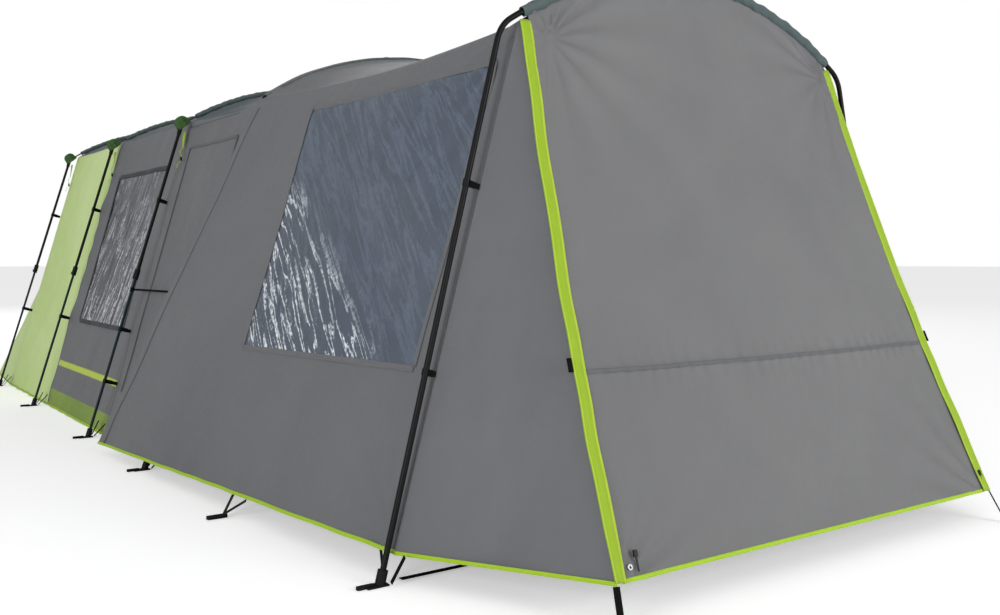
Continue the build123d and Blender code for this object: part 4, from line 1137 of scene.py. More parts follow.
    def windows(self) -> None:
        """The tinted film windows and their dark borders."""
        for side, sign in SIDES.items():
            y, _ = steps(list(self.pane_y), 0.011)
            top, low = self.section(self.heights["pane_high"]), self.section(self.heights["pane_low"])
            s = np.linspace(top, low, 110) * sign
            points = self.surface(y[None, :], s[:, None])
            v = np.linspace(0.0, 1.0, len(s))[:, None]
            u = np.linspace(0.0, 1.0, len(y))[None, :]
            slack = hump(u) ** 0.5 * hump(v) ** 0.5
            out = np.array([sign, 0.0, 0.3])
            push = 0.005 * waves(u * 1.07, v, 11, 0.5, 0.06, turn=1.25) * slack
            scallop = 0.004 * np.abs(np.sin(u * math.pi * 7.0)) * bell(1.0 - v, 0.18)
            points = points + (push + scallop)[..., None] * out
            film = Sheet(f"window_film_{side}", points, flip=sign < 0)
            piece = dress(film.build(), Stuff.TINTED)
            add_slack(piece, np.broadcast_to(0.35 + 0.65 * v**1.5, slack.shape))
            place(piece, "tent", "main_windows", slot="tinted_pvc")
            self.border(f"window_binding_{side}", points, sign)

    def border(self, name: str, points: np.ndarray, sign: float) -> None:
        """Four strips of dark binding along a window's edges.

        Args:
            name: name of the piece.
            points: grid of the window.
            sign: -1 on the left, 1 on the right.
        """
        out = outward(sign)
        lines = [line[::3] + out * 0.003 for line in (points[0], points[-1], points[:, 0], points[:, -1])]
        place(dress(edging(name, lines, out, 0.030, 0.003), Stuff.DARK), "tent", slot="grey_cloth")

    def door_flap(self) -> None:
        """The side door, a flap on the left wall with a zip round it."""
        y, _ = steps(list(self.door_y), 0.015)
        s = -np.linspace(self.section(self.heights["door_high"]), self.section(self.heights["door_low"]), 90)
        points = self.surface(y[None, :], s[:, None])
        u = np.linspace(0.0, 1.0, len(y))[None, :]
        v = np.linspace(0.0, 1.0, len(s))[:, None]
        fold = 0.005 * waves(u * 0.76, v * 1.5, 23, 0.5, 0.12, turn=1.35) * hump(u) ** 0.5 * hump(v) ** 0.5
        points = points + fold[..., None] * outward(-1.0)
        flap = Sheet("side_door_flap", points, flip=True)
        piece = dress(flap.build(), Stuff.GREY)
        place(piece, "side_door", "side_door", slot="grey_cloth")
        out = outward(-1.0)
        lines = [line[::3] + out * 0.004 for line in (points[0], points[:, 0], points[:, -1])]
        zip_tape = edging("side_door_zip", lines, out, 0.018, 0.003, crown=0.002)
        place(dress(zip_tape, Stuff.SEAM), "side_door", slot="grey_cloth")

    def tapes(self) -> None:
        """The lime tape under each window, the lime piping of the hem and the upright seams."""
        for side, sign in SIDES.items():
            out = outward(sign)
            down = uphill(sign)
            low, high = edges("reflective_tapes")
            y = np.linspace(low[1], high[1], 70)
            z = (low[2] + high[2]) / 2
            line = self.surface(y, np.full(len(y), self.section(z) * sign)) + out * 0.002
            tape = Tape(f"lime_tape_{side}", line, down, out, 0.042, 0.0016).build()
            place(dress(tape, Stuff.TAPE), "tent", "reflective_tapes", slot="lime_tape")
            y = np.linspace(self.s.y_hub, self.s.y_rear, 170)
            line = self.surface(y, np.full(len(y), 1.9985 * sign)) + out * 0.002
            hem = Tape(f"main_hem_{side}", line, down, out, 0.016, 0.003).build()
            place(dress(hem, Stuff.HEM), "tent", slot="lime_cloth")
            strips = []
            for number, station in enumerate((self.s.y_door, self.s.y_window)):
                s = np.linspace(1.02, 1.99, 80) * sign
                line = self.surface(np.full(len(s), station), s) + out * 0.0006
                strips.append(Tape(f"seam_{number}", line, FORE, out, 0.018, 0.001).build())
            place(dress(join(f"wall_seams_{side}", strips), Stuff.GREY), "tent", slot="grey_cloth")

    def rear(self) -> None:
        """The rear end: gussets and the sloping wall as one sheet that rounds its corners."""
        wide = np.linspace(-1.0, 1.0, 170)
        t = np.linspace(0.0, 1.0, 110)
        _, rear_high = edges("rear_wall")
        radius = self.s.skin - SEAM
        top_angle = wide * math.asin(self.s.top_x / radius)
        roof = np.stack([radius * np.sin(top_angle), np.full(len(wide), self.s.y_rear - 0.001),
                         self.s.centre + radius * np.cos(top_angle)], -1)
        corner = (rear_high[0] - 0.03, self.s.y_end - 0.006)
        foot_side = np.array([self.s.foot_x, self.s.y_rear, 0.006])
        place_on = np.abs(wide)
        gusset = 0.26
        flat = np.clip(place_on / (1.0 - gusset), 0.0, 1.0)
        turn = np.clip((place_on - (1.0 - gusset)) / gusset, 0.0, 1.0)
        foot = np.stack([
            np.sign(wide) * np.where(turn > 0, corner[0] + (foot_side[0] - corner[0]) * turn,
                                     corner[0] * flat),
            np.where(turn > 0, corner[1] + (foot_side[1] - corner[1]) * turn, corner[1]),
            np.full(len(wide), 0.006)], -1)
        points = roof[None] * (1.0 - t[:, None, None]) + foot[None] * t[:, None, None]
        normal = grid_normals(points)
        normal = np.where((normal[..., 1] < 0)[..., None], -normal, normal)
        slack = hump(t)[:, None] * (0.4 + 0.6 * np.cos(wide * math.pi / 2)[None, :])
        folds = waves(wide[None, :] * 1.4, t[:, None] * 2.0, 31, 0.7, 0.14, turn=1.4) * 0.006
        points = points + normal * (folds * hump(t)[:, None] - 0.02 * slack)[..., None]
        sheet = Sheet("rear_skin", points, flip=True)
        piece = dress(sheet.build(), Stuff.GREEN)
        place(piece, "tent", "rear_wall", "rear_gussets", slot="light_green_cloth")
        out = FORE
        hem = Tape("rear_hem", points[-1, ::2] + np.array([0, 0.001, 0.003]), UP, out,
                   0.016, 0.003).build()
        place(dress(hem, Stuff.HEM), "tent", slot="lime_cloth")

    def sleeves(self) -> None:
        """Gathered cloth sleeves on the roof poles, each one joined to the roof by a narrow web."""
        for hoop, station in zip(HOOPS, (self.s.y_hub, self.s.y_door, self.s.y_window, self.s.y_rear)):
            _, high = edges("pole_sleeves")
            end = math.asin((high[0] - 0.004) / self.s.pole)
            angle = np.linspace(-end, end, 420)[:, None]
            turn = np.linspace(-math.pi, math.pi, 25)[None, :]
            gather = (0.10 * np.sin(angle * 210.0 + 1.5 * np.sin(turn + angle * 17.0))
                      + 0.08 * np.sin(angle * 97.0 + 2.0 * np.cos(turn)) + 0.05 * np.sin(angle * 33.0 + turn))
            mouth = 1.0 - 0.18 * bell(end - np.abs(angle), 0.010)
            radius = 0.0138 * (1.0 + gather * 0.8) * mouth
            flat = 1.0 + 0.25 * np.maximum(-np.cos(turn), 0.0)
            away = self.s.pole + radius * np.cos(turn) * flat
            points = np.stack([away * np.sin(angle), station + radius * np.sin(turn) * 1.05,
                               self.s.centre + away * np.cos(angle)], -1)
            sleeve = Sheet(f"pole_sleeve_{hoop}", points)
            piece = dress(sleeve.build(), Stuff.SLEEVE)
            place(piece, "tent", "pole_sleeves", slot="slate_cloth")

    def caps(self) -> None:
        """Quilted green corner caps on the six hubs behind the porch: six-sided domes with soft
        panels, a button seam on top and a rolled skirt."""
        for hoop in HOOPS[1:]:
            for side, sign in SIDES.items():
                hub_z = edges("upper_legs")[1][2] + 0.022
                hub = on_leg(hoop, side, hub_z)
                axis = np.array([sign * 0.62, 0.0, 0.785])
                fore = FORE
                wide = np.cross(axis, fore)
                lat = np.linspace(0.0, 2.15, 44)[:, None]
                turn = np.linspace(0.0, 2.0 * math.pi, 73)[None, :-1]
                third = math.pi / 3
                facet = np.cos(third / 2) / np.cos(np.mod(turn, third) - third / 2)
                shape = 1.6 * facet - 0.6
                pleat = 0.10 * bell(np.mod(turn, third) - third / 2, 0.07) * np.sin(lat)
                puff = 1.0 - pleat - 0.05 * bell(lat - 1.45, 0.08)
                roll = 0.06 * bell(lat - 2.05, 0.10)
                flare = 1.0 + 0.10 * ease((lat - 1.5) / 0.6)
                size = 0.047 * (shape * puff * flare + roll)
                across = size * np.sin(lat) ** 0.8
                up = 0.043 * np.cos(lat) * (1.0 - 0.06 * bell(lat, 0.12))
                spoke = np.cos(turn)[..., None] * fore + np.sin(turn)[..., None] * wide
                points = hub + across[..., None] * spoke + up[..., None] * axis
                cap = Sheet(f"corner_cap_{hoop}_{side}", points, flip=True, wrap=True)
                piece = dress(cap.build(), Stuff.CAP)
                place(piece, "tent", "hub_protectors", slot="green_pvc")

    def build(self) -> None:
        """Build every piece of the main tent."""
        self.skin()
        self.windows()
        self.door_flap()
        self.tapes()
        self.rear()
        self.sleeves()
        self.caps()


def add_slack(piece: bpy.types.Object, values: np.ndarray) -> None:
    """Store a value for each grid point as the attribute that the film reads its folds, and the place of its
    painted highlight streaks, from.
    """
    layer = piece.data.attributes.new("slack", "FLOAT", "POINT")
    layer.data.foreach_set("value", values.astype(np.float32).ravel())


# ---- Porch ----------------------------------------------------------------------------------
@dataclass
class Porch:
    """The porch: one sheet over its hoop, film windows, the sloping front and its zip strips.

    Attributes:
        s: shared sizes.
        pitch: spacing of its grid.
        slack: how far the front and its zip covers bow in.
        tuck: how far the front and the gussets reach under the zip covers.
        seam_z: height of the front's level seam.
        lean: how far the window's edges lean to the rear at its foot.
        strip: width of a zip cover.
    """

    s: Sizes
    pitch: float = 0.022
    slack: float = 0.030
    tuck: float = 0.012
    seam_z: float = 0.715
    lean: float = 0.055
    strip: float = 0.050

    def __post_init__(self) -> None:
        """Read the porch's corners from the frame."""
        side_low, side_high = edges("porch_sides")
        pane_low, pane_high = edges("porch_windows")
        gable_low, gable_high = edges("porch_gable")
        gusset_low, gusset_high = edges("porch_gussets")
        strip_low, strip_high = edges("zip_strips")
        self.top_z = gable_low[2] - SEAM
        self.front_radius = gable_high[2] + 0.001 - self.s.centre
        self.top_x = math.sqrt(self.front_radius**2 - (self.top_z - self.s.centre) ** 2)
        self.hem_x = gusset_high[0] + SEAM
        self.hem_z = gusset_low[2] - 0.010
        self.tail = (side_high[0] + 0.004, side_high[1] + 0.004, side_low[2] + 0.018)
        self.crown = (0.950, self.s.y_hub + 0.025, 1.868)
        self.pane_z = (pane_low[2] - 0.002, pane_high[2] + 0.002)
        self.pane_y = (pane_low[1] - 0.002, pane_high[1] + 0.002)
        self.door_y = strip_low[1] - 0.002
        self.door_z = edges("front_door")[0][2] - 0.015
        self.door_x = {-1.0: strip_high[0] + 0.052, 1.0: strip_high[0] - 0.012}

    def edge(self, front: bool, w: np.ndarray) -> np.ndarray:
        """The wall's front or rear edge line, w from 0 at its hem to 1 at the roof.

        Args:
            front: whether it is the front edge.
            w: share of the height.

        Returns:
            Points with three numbers each.
        """
        w = w[..., None]
        if front:
            low = np.array([self.hem_x, self.s.y_porch, self.hem_z])
            high = np.array([self.top_x, self.s.y_porch, self.top_z])
        else:
            low, high = np.array(self.tail), np.array(self.crown)
        return low + (high - low) * w

    def base(self, v: np.ndarray, s: np.ndarray) -> np.ndarray:
        """The unsagged porch: walls ruled from the hoop to the rear edge, and a roof whose arch
        widens to the rear.

        Args:
            v: 0 at the hoop to 1 at the rear edge.
            s: place round the section, -2 to 2, as on the main tent.

        Returns:
            Points with three numbers each.
        """
        v, s = np.broadcast_arrays(v, s)
        w = np.clip(2.0 - np.abs(s), 0.0, 1.0)
        wall = self.edge(True, w) * (1.0 - v[..., None]) + self.edge(False, w) * v[..., None]
        wall[..., 0] *= np.sign(s)
        half = self.top_x + (self.crown[0] - self.top_x) * v
        edge_z = self.top_z + (self.crown[2] - self.top_z) * v
        rear = math.hypot(self.crown[0], self.crown[2] - self.s.centre)
        radius = self.front_radius + (rear - self.front_radius) * v
        x = np.clip(s, -1.0, 1.0) * half
        z = self.s.centre + np.sqrt(radius**2 - x**2)
        z = z + (edge_z - (self.s.centre + np.sqrt(radius**2 - half**2)))
        y = self.s.y_porch + (self.crown[1] - self.s.y_porch) * v
        roof = np.stack([x, y, z], -1)
        return np.where((np.abs(s) > 1.0)[..., None], wall, roof)

    def surface(self, v: np.ndarray, s: np.ndarray) -> np.ndarray:
        """The sagged porch cloth: a long dip behind the hoop, folds fanning from the foot of the
        hoop and from the roof corners, a rounded shoulder, and a ripple along the hem.

        Args:
            v: 0 at the hoop to 1 at the rear edge.
            s: places round the section.

        Returns:
            Points with three numbers each.
        """
        v, s = np.broadcast_arrays(v, s)
        points = self.base(v, s)
        step = 1e-3
        fore = self.base(np.clip(v + step, 0, 1), s) - self.base(np.clip(v - step, 0, 1), s)
        round_ = self.base(v, s + step) - self.base(v, s - step)
        normal = np.cross(round_, fore)
        normal = normal / np.linalg.norm(normal, axis=-1, keepdims=True)
        inward = (normal[..., 2] < 0) | (normal[..., 0] * np.sign(s) < -0.5)
        normal = np.where(inward[..., None], -normal, normal)
        size = np.abs(s)
        roofness = ease((1.12 - size) / 0.24)
        length = 2.1 + 0.7 * np.clip(size - 1.0, 0.0, 1.0)
        a, b = v * length, size * 1.85
        push = -0.125 * hump(v) ** 0.7 * roofness * (0.8 + 0.2 * np.cos(np.clip(s, -1, 1) * math.pi / 2))
        push = push - 0.020 * hump(v) * hump(2.0 - size) * (1.0 - roofness)
        push = push + 0.0045 * waves(a, b, 41, 0.9, 0.25, turn=0.5) * (1.0 - 0.4 * roofness)
        for corner_b, amount in ((2.0 * 1.85, 0.006), (1.0 * 1.85, 0.005)):
            gone_a, gone_b = a, np.abs(b - corner_b)
            reach = np.hypot(gone_a, gone_b)
            fan = np.sin(np.arctan2(gone_b, gone_a + 1e-6) * 19.0 + 0.7)
            push = push + amount * fan * np.exp(-reach / 0.35) * np.clip(reach / 0.06, 0.0, 1.0)
        push = push + 0.005 * np.sin(a * 19.0 + 2.0 * np.sin(a * 4.0)) * bell(2.0 - size, 0.05)
        shoulder = -0.004 * bell(size - 1.0, 0.02)
        held = np.clip(v / 0.03, 0.0, 1.0)
        return points + normal * ((push + shoulder) * held)[..., None]

    def pane_v(self, s: np.ndarray, front: bool) -> np.ndarray:
        """Where the window's front or rear edge lies between the hoop and the rear edge.

        Args:
            s: places round the section.
            front: whether it is the front edge.

        Returns:
            Shares from 0 at the hoop to 1 at the rear edge.
        """
        w = np.clip(2.0 - np.abs(s), 0.0, 1.0)
        fore, back = self.edge(True, w), self.edge(False, w)
        share = (fore[..., 2] - self.pane_z[0]) / (self.pane_z[1] - self.pane_z[0])
        lean = self.lean * (1.0 - np.clip(share, 0.0, 1.0))
        station = (self.pane_y[0] if front else self.pane_y[1] - self.lean) + lean
        return (station - self.s.y_porch) / (back[..., 1] - self.s.y_porch)

    def place_of(self, z: float) -> float:
        """The place round the section of a height on the right-hand wall, at the hoop."""
        return 2.0 - (z - self.hem_z) / (self.top_z - self.hem_z)

    def grid(self) -> tuple[np.ndarray, np.ndarray, list[int], np.ndarray]:
        """The porch's grid: rows round the section, columns hoop to rear with the window's edges
        among them, the knots' columns, and the section places.

        Returns:
            Shares hoop to rear, section places of the grid, knot columns, section places.
        """
        top, low = self.place_of(self.pane_z[1]), self.place_of(self.pane_z[0])
        wall, _ = steps([1.0, top, low, 2.0], self.pitch / 1.85)
        roof, _ = steps([-1.0, 1.0], self.pitch / 0.95)
        s = np.concatenate([-wall[::-1], roof[1:-1], wall])
        counts = (6, 58, 50, 5)
        knots = [np.zeros(len(s)), self.pane_v(s, True), self.pane_v(s, False),
                 np.full(len(s), 0.965), np.ones(len(s))]
        columns = [knots[0][:, None]]
        for low_v, high_v, count in zip(knots, knots[1:], counts):
            t = np.linspace(0.0, 1.0, count + 1)[1:]
            columns.append(low_v[:, None] + (high_v - low_v)[:, None] * t[None, :])
        v = np.concatenate(columns, 1)
        places = list(np.cumsum((0, *counts)))
        return v, np.broadcast_to(s[:, None], v.shape), places, s

    def skin(self) -> None:
        """The sheet over both walls and the roof, with holes for the film windows."""
        v, grid_s, places, s = self.grid()
        points = self.surface(v, grid_s)
        keep = np.ones((points.shape[0] - 1, points.shape[1] - 1), bool)
        top, low = self.place_of(self.pane_z[1]), self.place_of(self.pane_z[0])
        mid = (s[1:] + s[:-1]) / 2
        rows = (np.abs(mid) > top) & (np.abs(mid) < low)
        keep[np.ix_(rows, np.arange(places[1], places[2]))] = False
        sheet = Sheet("porch_skin", points, keep=keep)
        piece = dress(sheet.build(), Stuff.GREY)
        place(piece, "tent", "porch_roof", "porch_sides", slot="grey_cloth")

    def windows(self) -> None:
        """The film windows, creased along the pull of the cloth, and their bindings."""
        top, low = self.place_of(self.pane_z[1]), self.place_of(self.pane_z[0])
        for side, sign in SIDES.items():
            s = np.linspace(top, low, 150) * sign
            u = np.linspace(0.0, 1.0, 190)
            front, rear = self.pane_v(s, True), self.pane_v(s, False)
            v = front[:, None] + (rear - front)[:, None] * u[None, :]
            points = self.surface(v, s[:, None])
            t = np.linspace(0.0, 1.0, len(s))[:, None]
            u = u[None, :]
            slack = np.clip(8.0 * np.minimum(np.minimum(u, 1 - u), np.minimum(t, 1 - t)), 0.0, 1.0)
            lower = ease((0.9 * t + 0.75 * u - 0.80) / 0.55)
            folds = waves(u * 1.4, t * 1.1, 53, 0.16, 0.05, turn=2.21, count=18)
            sharp = 1.0 - np.sqrt(np.abs(folds) + 0.02)
            belly = waves(u * 1.4, t * 1.1, 57, 0.9, 0.4, turn=2.6)
            gather = np.sin(u * 40.0 + 3.0 * np.sin(u * 9.0)) * bell(t, 0.07)
            push = (0.0055 * sharp * (0.06 + 0.94 * lower) + 0.004 * belly + 0.006 * gather) * slack
            points = points + push[..., None] * outward(sign)
            film = Sheet(f"porch_film_{side}", points, flip=sign < 0)
            piece = dress(film.build(), Stuff.FILM)
            add_slack(piece, lower)
            place(piece, "tent", "porch_windows", slot="pvc")
            out = outward(sign)
            lines = [line[::4] + out * 0.002 for line in (points[0], points[-1], points[:, 0], points[:, -1])]
            binding = edging(f"porch_film_binding_{side}", lines, out, 0.024, 0.0024)
            place(dress(binding, Stuff.GREY), "tent", slot="grey_cloth")

    def front_line(self, x: np.ndarray) -> np.ndarray:
        """Points of the front's top edge on the arch, for half-widths as shares from -1 to 1."""
        wide = x * (self.top_x - self.strip + self.tuck)
        return np.stack([wide, np.full(np.shape(wide), self.s.y_porch - 0.003),
                         self.s.centre + np.sqrt(self.front_radius**2 - wide**2)], -1)

    def zip_line(self, sign: float, t: np.ndarray, inset: float) -> np.ndarray:
        """A line down a zip cover, t from 0 at the hoop to 1 at the hem, this far inside the
        cover's outer edge; it hangs a little slack.

        Args:
            sign: -1 on the left, 1 on the right.
            t: shares down the cover.
            inset: distance from its outer edge.

        Returns:
            Points with three numbers each.
        """
        top = np.array([sign * (self.top_x - inset), self.s.y_porch, self.top_z])
        low = np.array([sign * (self.door_x[sign] - inset), self.door_y, self.door_z])
        return top + (low - top) * t[..., None] - RISE * (self.slack * hump(t))[..., None]

    def front_points(self, u: np.ndarray, t: np.ndarray) -> np.ndarray:
        """The sloping front: ruled from the arch to the hem, with folds fanning down from the two
        top corners, a slack belly low down and a puckered seam across it.

        Args:
            u: -1 at the left edge to 1 at the right.
            t: 0 at the arch to 1 at the hem.

        Returns:
            Points with three numbers each.
        """
        u, t = np.broadcast_arrays(u, t)
        top = self.front_line(u)
        low_x = np.where(u < 0, self.door_x[-1.0], self.door_x[1.0]) - self.strip + self.tuck
        low = np.stack([u * low_x, np.full(u.shape, self.door_y), np.full(u.shape, self.door_z)], -1)
        points = top * (1.0 - t[..., None]) + low * t[..., None] - RISE * (self.slack * hump(t))[..., None]
        x, run = u * 0.9, t * 2.05
        push = -0.016 * hump(t) * np.cos(u * math.pi / 2)
        push = push + 0.0050 * waves(x, run, 61, 0.8, 0.22, turn=1.35) * hump(t) ** 0.5
        for corner in (-0.82, 0.82):
            away_x, away_y = x - corner, run - 0.18
            reach = np.hypot(away_x, away_y)
            fan = np.sin(np.arctan2(away_x, away_y + 0.05) * 15.0 + 0.4)
            push = push + 0.008 * fan * np.exp(-reach / 0.5) * np.clip(reach / 0.1, 0.0, 1.0)
        for corner in (-0.95, 0.95):
            reach = np.hypot(x - corner, run - 2.05)
            fan = np.sin(np.arctan2(x - corner, run - 2.1) * 17.0)
            push = push + 0.008 * fan * np.exp(-reach / 0.35) * np.clip(reach / 0.08, 0.0, 1.0)
        seam = run - self.seam_share(u) * 2.05
        push = push + 0.0035 * bell(seam, 0.012)
        push = push + 0.0030 * np.sin(x * 95.0 + 3.0 * np.sin(x * 11.0)) * bell(seam, 0.05)
        held = np.clip(np.minimum((1.0 - np.abs(u)) * 0.25, t) / 0.02, 0.0, 1.0)
        return points + RISE * (push * held)[..., None]

    def seam_share(self, u: np.ndarray) -> np.ndarray:
        """How far down the front its level seam lies, as a share from the arch to the hem."""
        top = self.front_line(u)[..., 2]
        return (top - self.seam_z) / (top - self.door_z)

    def front(self) -> None:
        """The front panel, and its seam tape and hem, which ride on the door."""
        u = np.linspace(-1.0, 1.0, 180)
        t = np.linspace(0.0, 1.0, 200)
        points = self.front_points(u[None, :], t[:, None])
        sheet = Sheet("front_panel", points)
        piece = dress(sheet.build(), Stuff.FRONT)
        self.lift(piece)
        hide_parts("front_door", "porch_gable")
        log.info("built front_panel between tent and front_door")
        x = np.linspace(-0.985, 0.985, 160)
        line = self.front_points(x, self.seam_share(x)) + RISE * 0.0015
        tape = Tape("front_seam_tape", line, SLOPE, RISE, 0.016, 0.0016).build()
        place(dress(tape, Stuff.SEAM), "front_door", slot="grey_cloth")
        line = self.front_points(np.linspace(-1, 1, 120), np.full(120, 0.9985)) + RISE * 0.001
        hem = Tape("front_hem", line, SLOPE, RISE, 0.014, 0.004, crown=0.001).build()
        place(dress(hem, Stuff.HEM), "front_door", slot="lime_cloth")

    def lift(self, piece: bpy.types.Object) -> None:
        """Bake a piece of the front's transform into its mesh."""
        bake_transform(piece)

    def strips(self) -> None:
        """The lime zip covers, folded along their length, and the grey gussets beside them."""
        for side, sign in SIDES.items():
            t = np.linspace(0.0, 1.0, 150)
            line = self.zip_line(sign, t, self.strip / 2)
            line = line + RISE * (0.011 + 0.0015 * np.sin(t * 37.0 + 2.0 * np.sin(t * 9.0)))[:, None]
            run = line[-1] - line[0]
            across = np.cross(RISE, run / np.linalg.norm(run))
            line = line + across * (0.002 * np.sin(t * 23.0 + sign))[:, None]
            taper = 1.0 - 0.15 * ease((t - 0.90) / 0.10)
            strip = Tape(f"zip_cover_{side}", line, -across * taper[:, None], RISE, self.strip, 0.005,
                         crown=0.007).build()
            place(dress(strip, Stuff.ZIP), "tent", "zip_strips", slot="lime_cloth")
            u = np.linspace(0.0, 1.0, 60)[None, :]
            w = np.linspace(0.0, 1.0, 150)[:, None]
            hoop = self.edge(True, w[:, 0])[:, None] * np.array([sign, 1.0, 1.0])
            inner = (self.zip_line(sign, 1.0 - w[:, 0], self.tuck) + RISE * 0.007)[:, None]
            points = hoop * (1.0 - u[..., None]) + inner * u[..., None]
            away = np.array([sign * 0.80, -0.55, 0.22])
            slack = np.sin(math.pi * u) ** 0.8 * (1.0 - w) ** 0.6 * np.clip(w / 0.02, 0, 1) ** 0.5
            run_u, run_w = u * 0.8 * (1.0 - w), w * 1.85
            push = (-0.018 * hump(u) * (1 - w) + 0.006 * waves(run_u, run_w, 71, 0.6, 0.14, turn=1.5)) * slack
            points = points + push[..., None] * away
            gusset = Sheet(f"porch_gusset_{side}", points, flip=sign > 0)
            piece = dress(gusset.build(), Stuff.GREY)
            place(piece, "tent", "porch_gussets", slot="grey_cloth")
            base = points[0] + away * 0.002
            hem = Tape(f"gusset_hem_{side}", base, UP, away, 0.014, 0.003).build()
            place(dress(hem, Stuff.HEM), "tent", slot="lime_cloth")

    def hems(self) -> None:
        """The lime hem of each wall, the doubled rear edge, and the seam at the hoop."""
        for side, sign in SIDES.items():
            out = outward(sign)
            v = np.linspace(0.0, 1.0, 180)
            line = self.surface(v, np.full(180, 1.9985 * sign)) + out * 0.001
            hem = Tape(f"porch_hem_{side}", line, uphill(sign), out, 0.015, 0.004).build()
            place(dress(hem, Stuff.HEM), "tent", slot="lime_cloth")
            s = np.linspace(1.03, 1.995, 150) * sign
            strips = []
            for number, (station, wide) in enumerate(((0.982, 0.040), (0.006, 0.018))):
                line = self.surface(np.full(150, station), s) + out * 0.0006
                strips.append(Tape(f"porch_seam_{number}", line, FORE, out, wide, 0.0018).build())
            place(dress(join(f"porch_seams_{side}", strips), Stuff.GREY), "tent", slot="grey_cloth")

    def sleeve(self) -> None:
        """The gathered sleeve round the porch arch."""
        end = math.asin((self.top_x - 0.014) / self.s.pole)
        angle = np.linspace(-end, end, 620)[:, None]
        turn = np.linspace(-math.pi, math.pi, 33)[None, :]
        gather = (0.09 * np.sin(angle * 150.0 + 2.0 * np.sin(turn + angle * 11.0))
                  + 0.09 * np.sin(angle * 71.0 + 2.0 * np.cos(turn)) + 0.05 * np.sin(angle * 19.0 + turn))
        mouth = 1.0 - 0.15 * bell(end - np.abs(angle), 0.012)
        radius = 0.0165 * (1.0 + gather) * mouth
        droop = 1.0 + 0.45 * np.maximum(-np.cos(turn), 0.0)
        away = self.s.pole + radius * np.cos(turn) * droop
        points = np.stack([away * np.sin(angle), self.s.y_porch + radius * np.sin(turn),
                           self.s.centre + away * np.cos(angle)], -1)
        tube = Sheet("porch_sleeve_cloth", points)
        piece = dress(tube.build(), Stuff.SLEEVE)
        place(piece, "tent", "porch_sleeve", slot="slate_cloth")

    def build(self) -> None:
        """Build every piece of the porch."""
        self.skin()
        self.windows()
        self.front()
        self.strips()
        self.hems()
        self.sleeve()


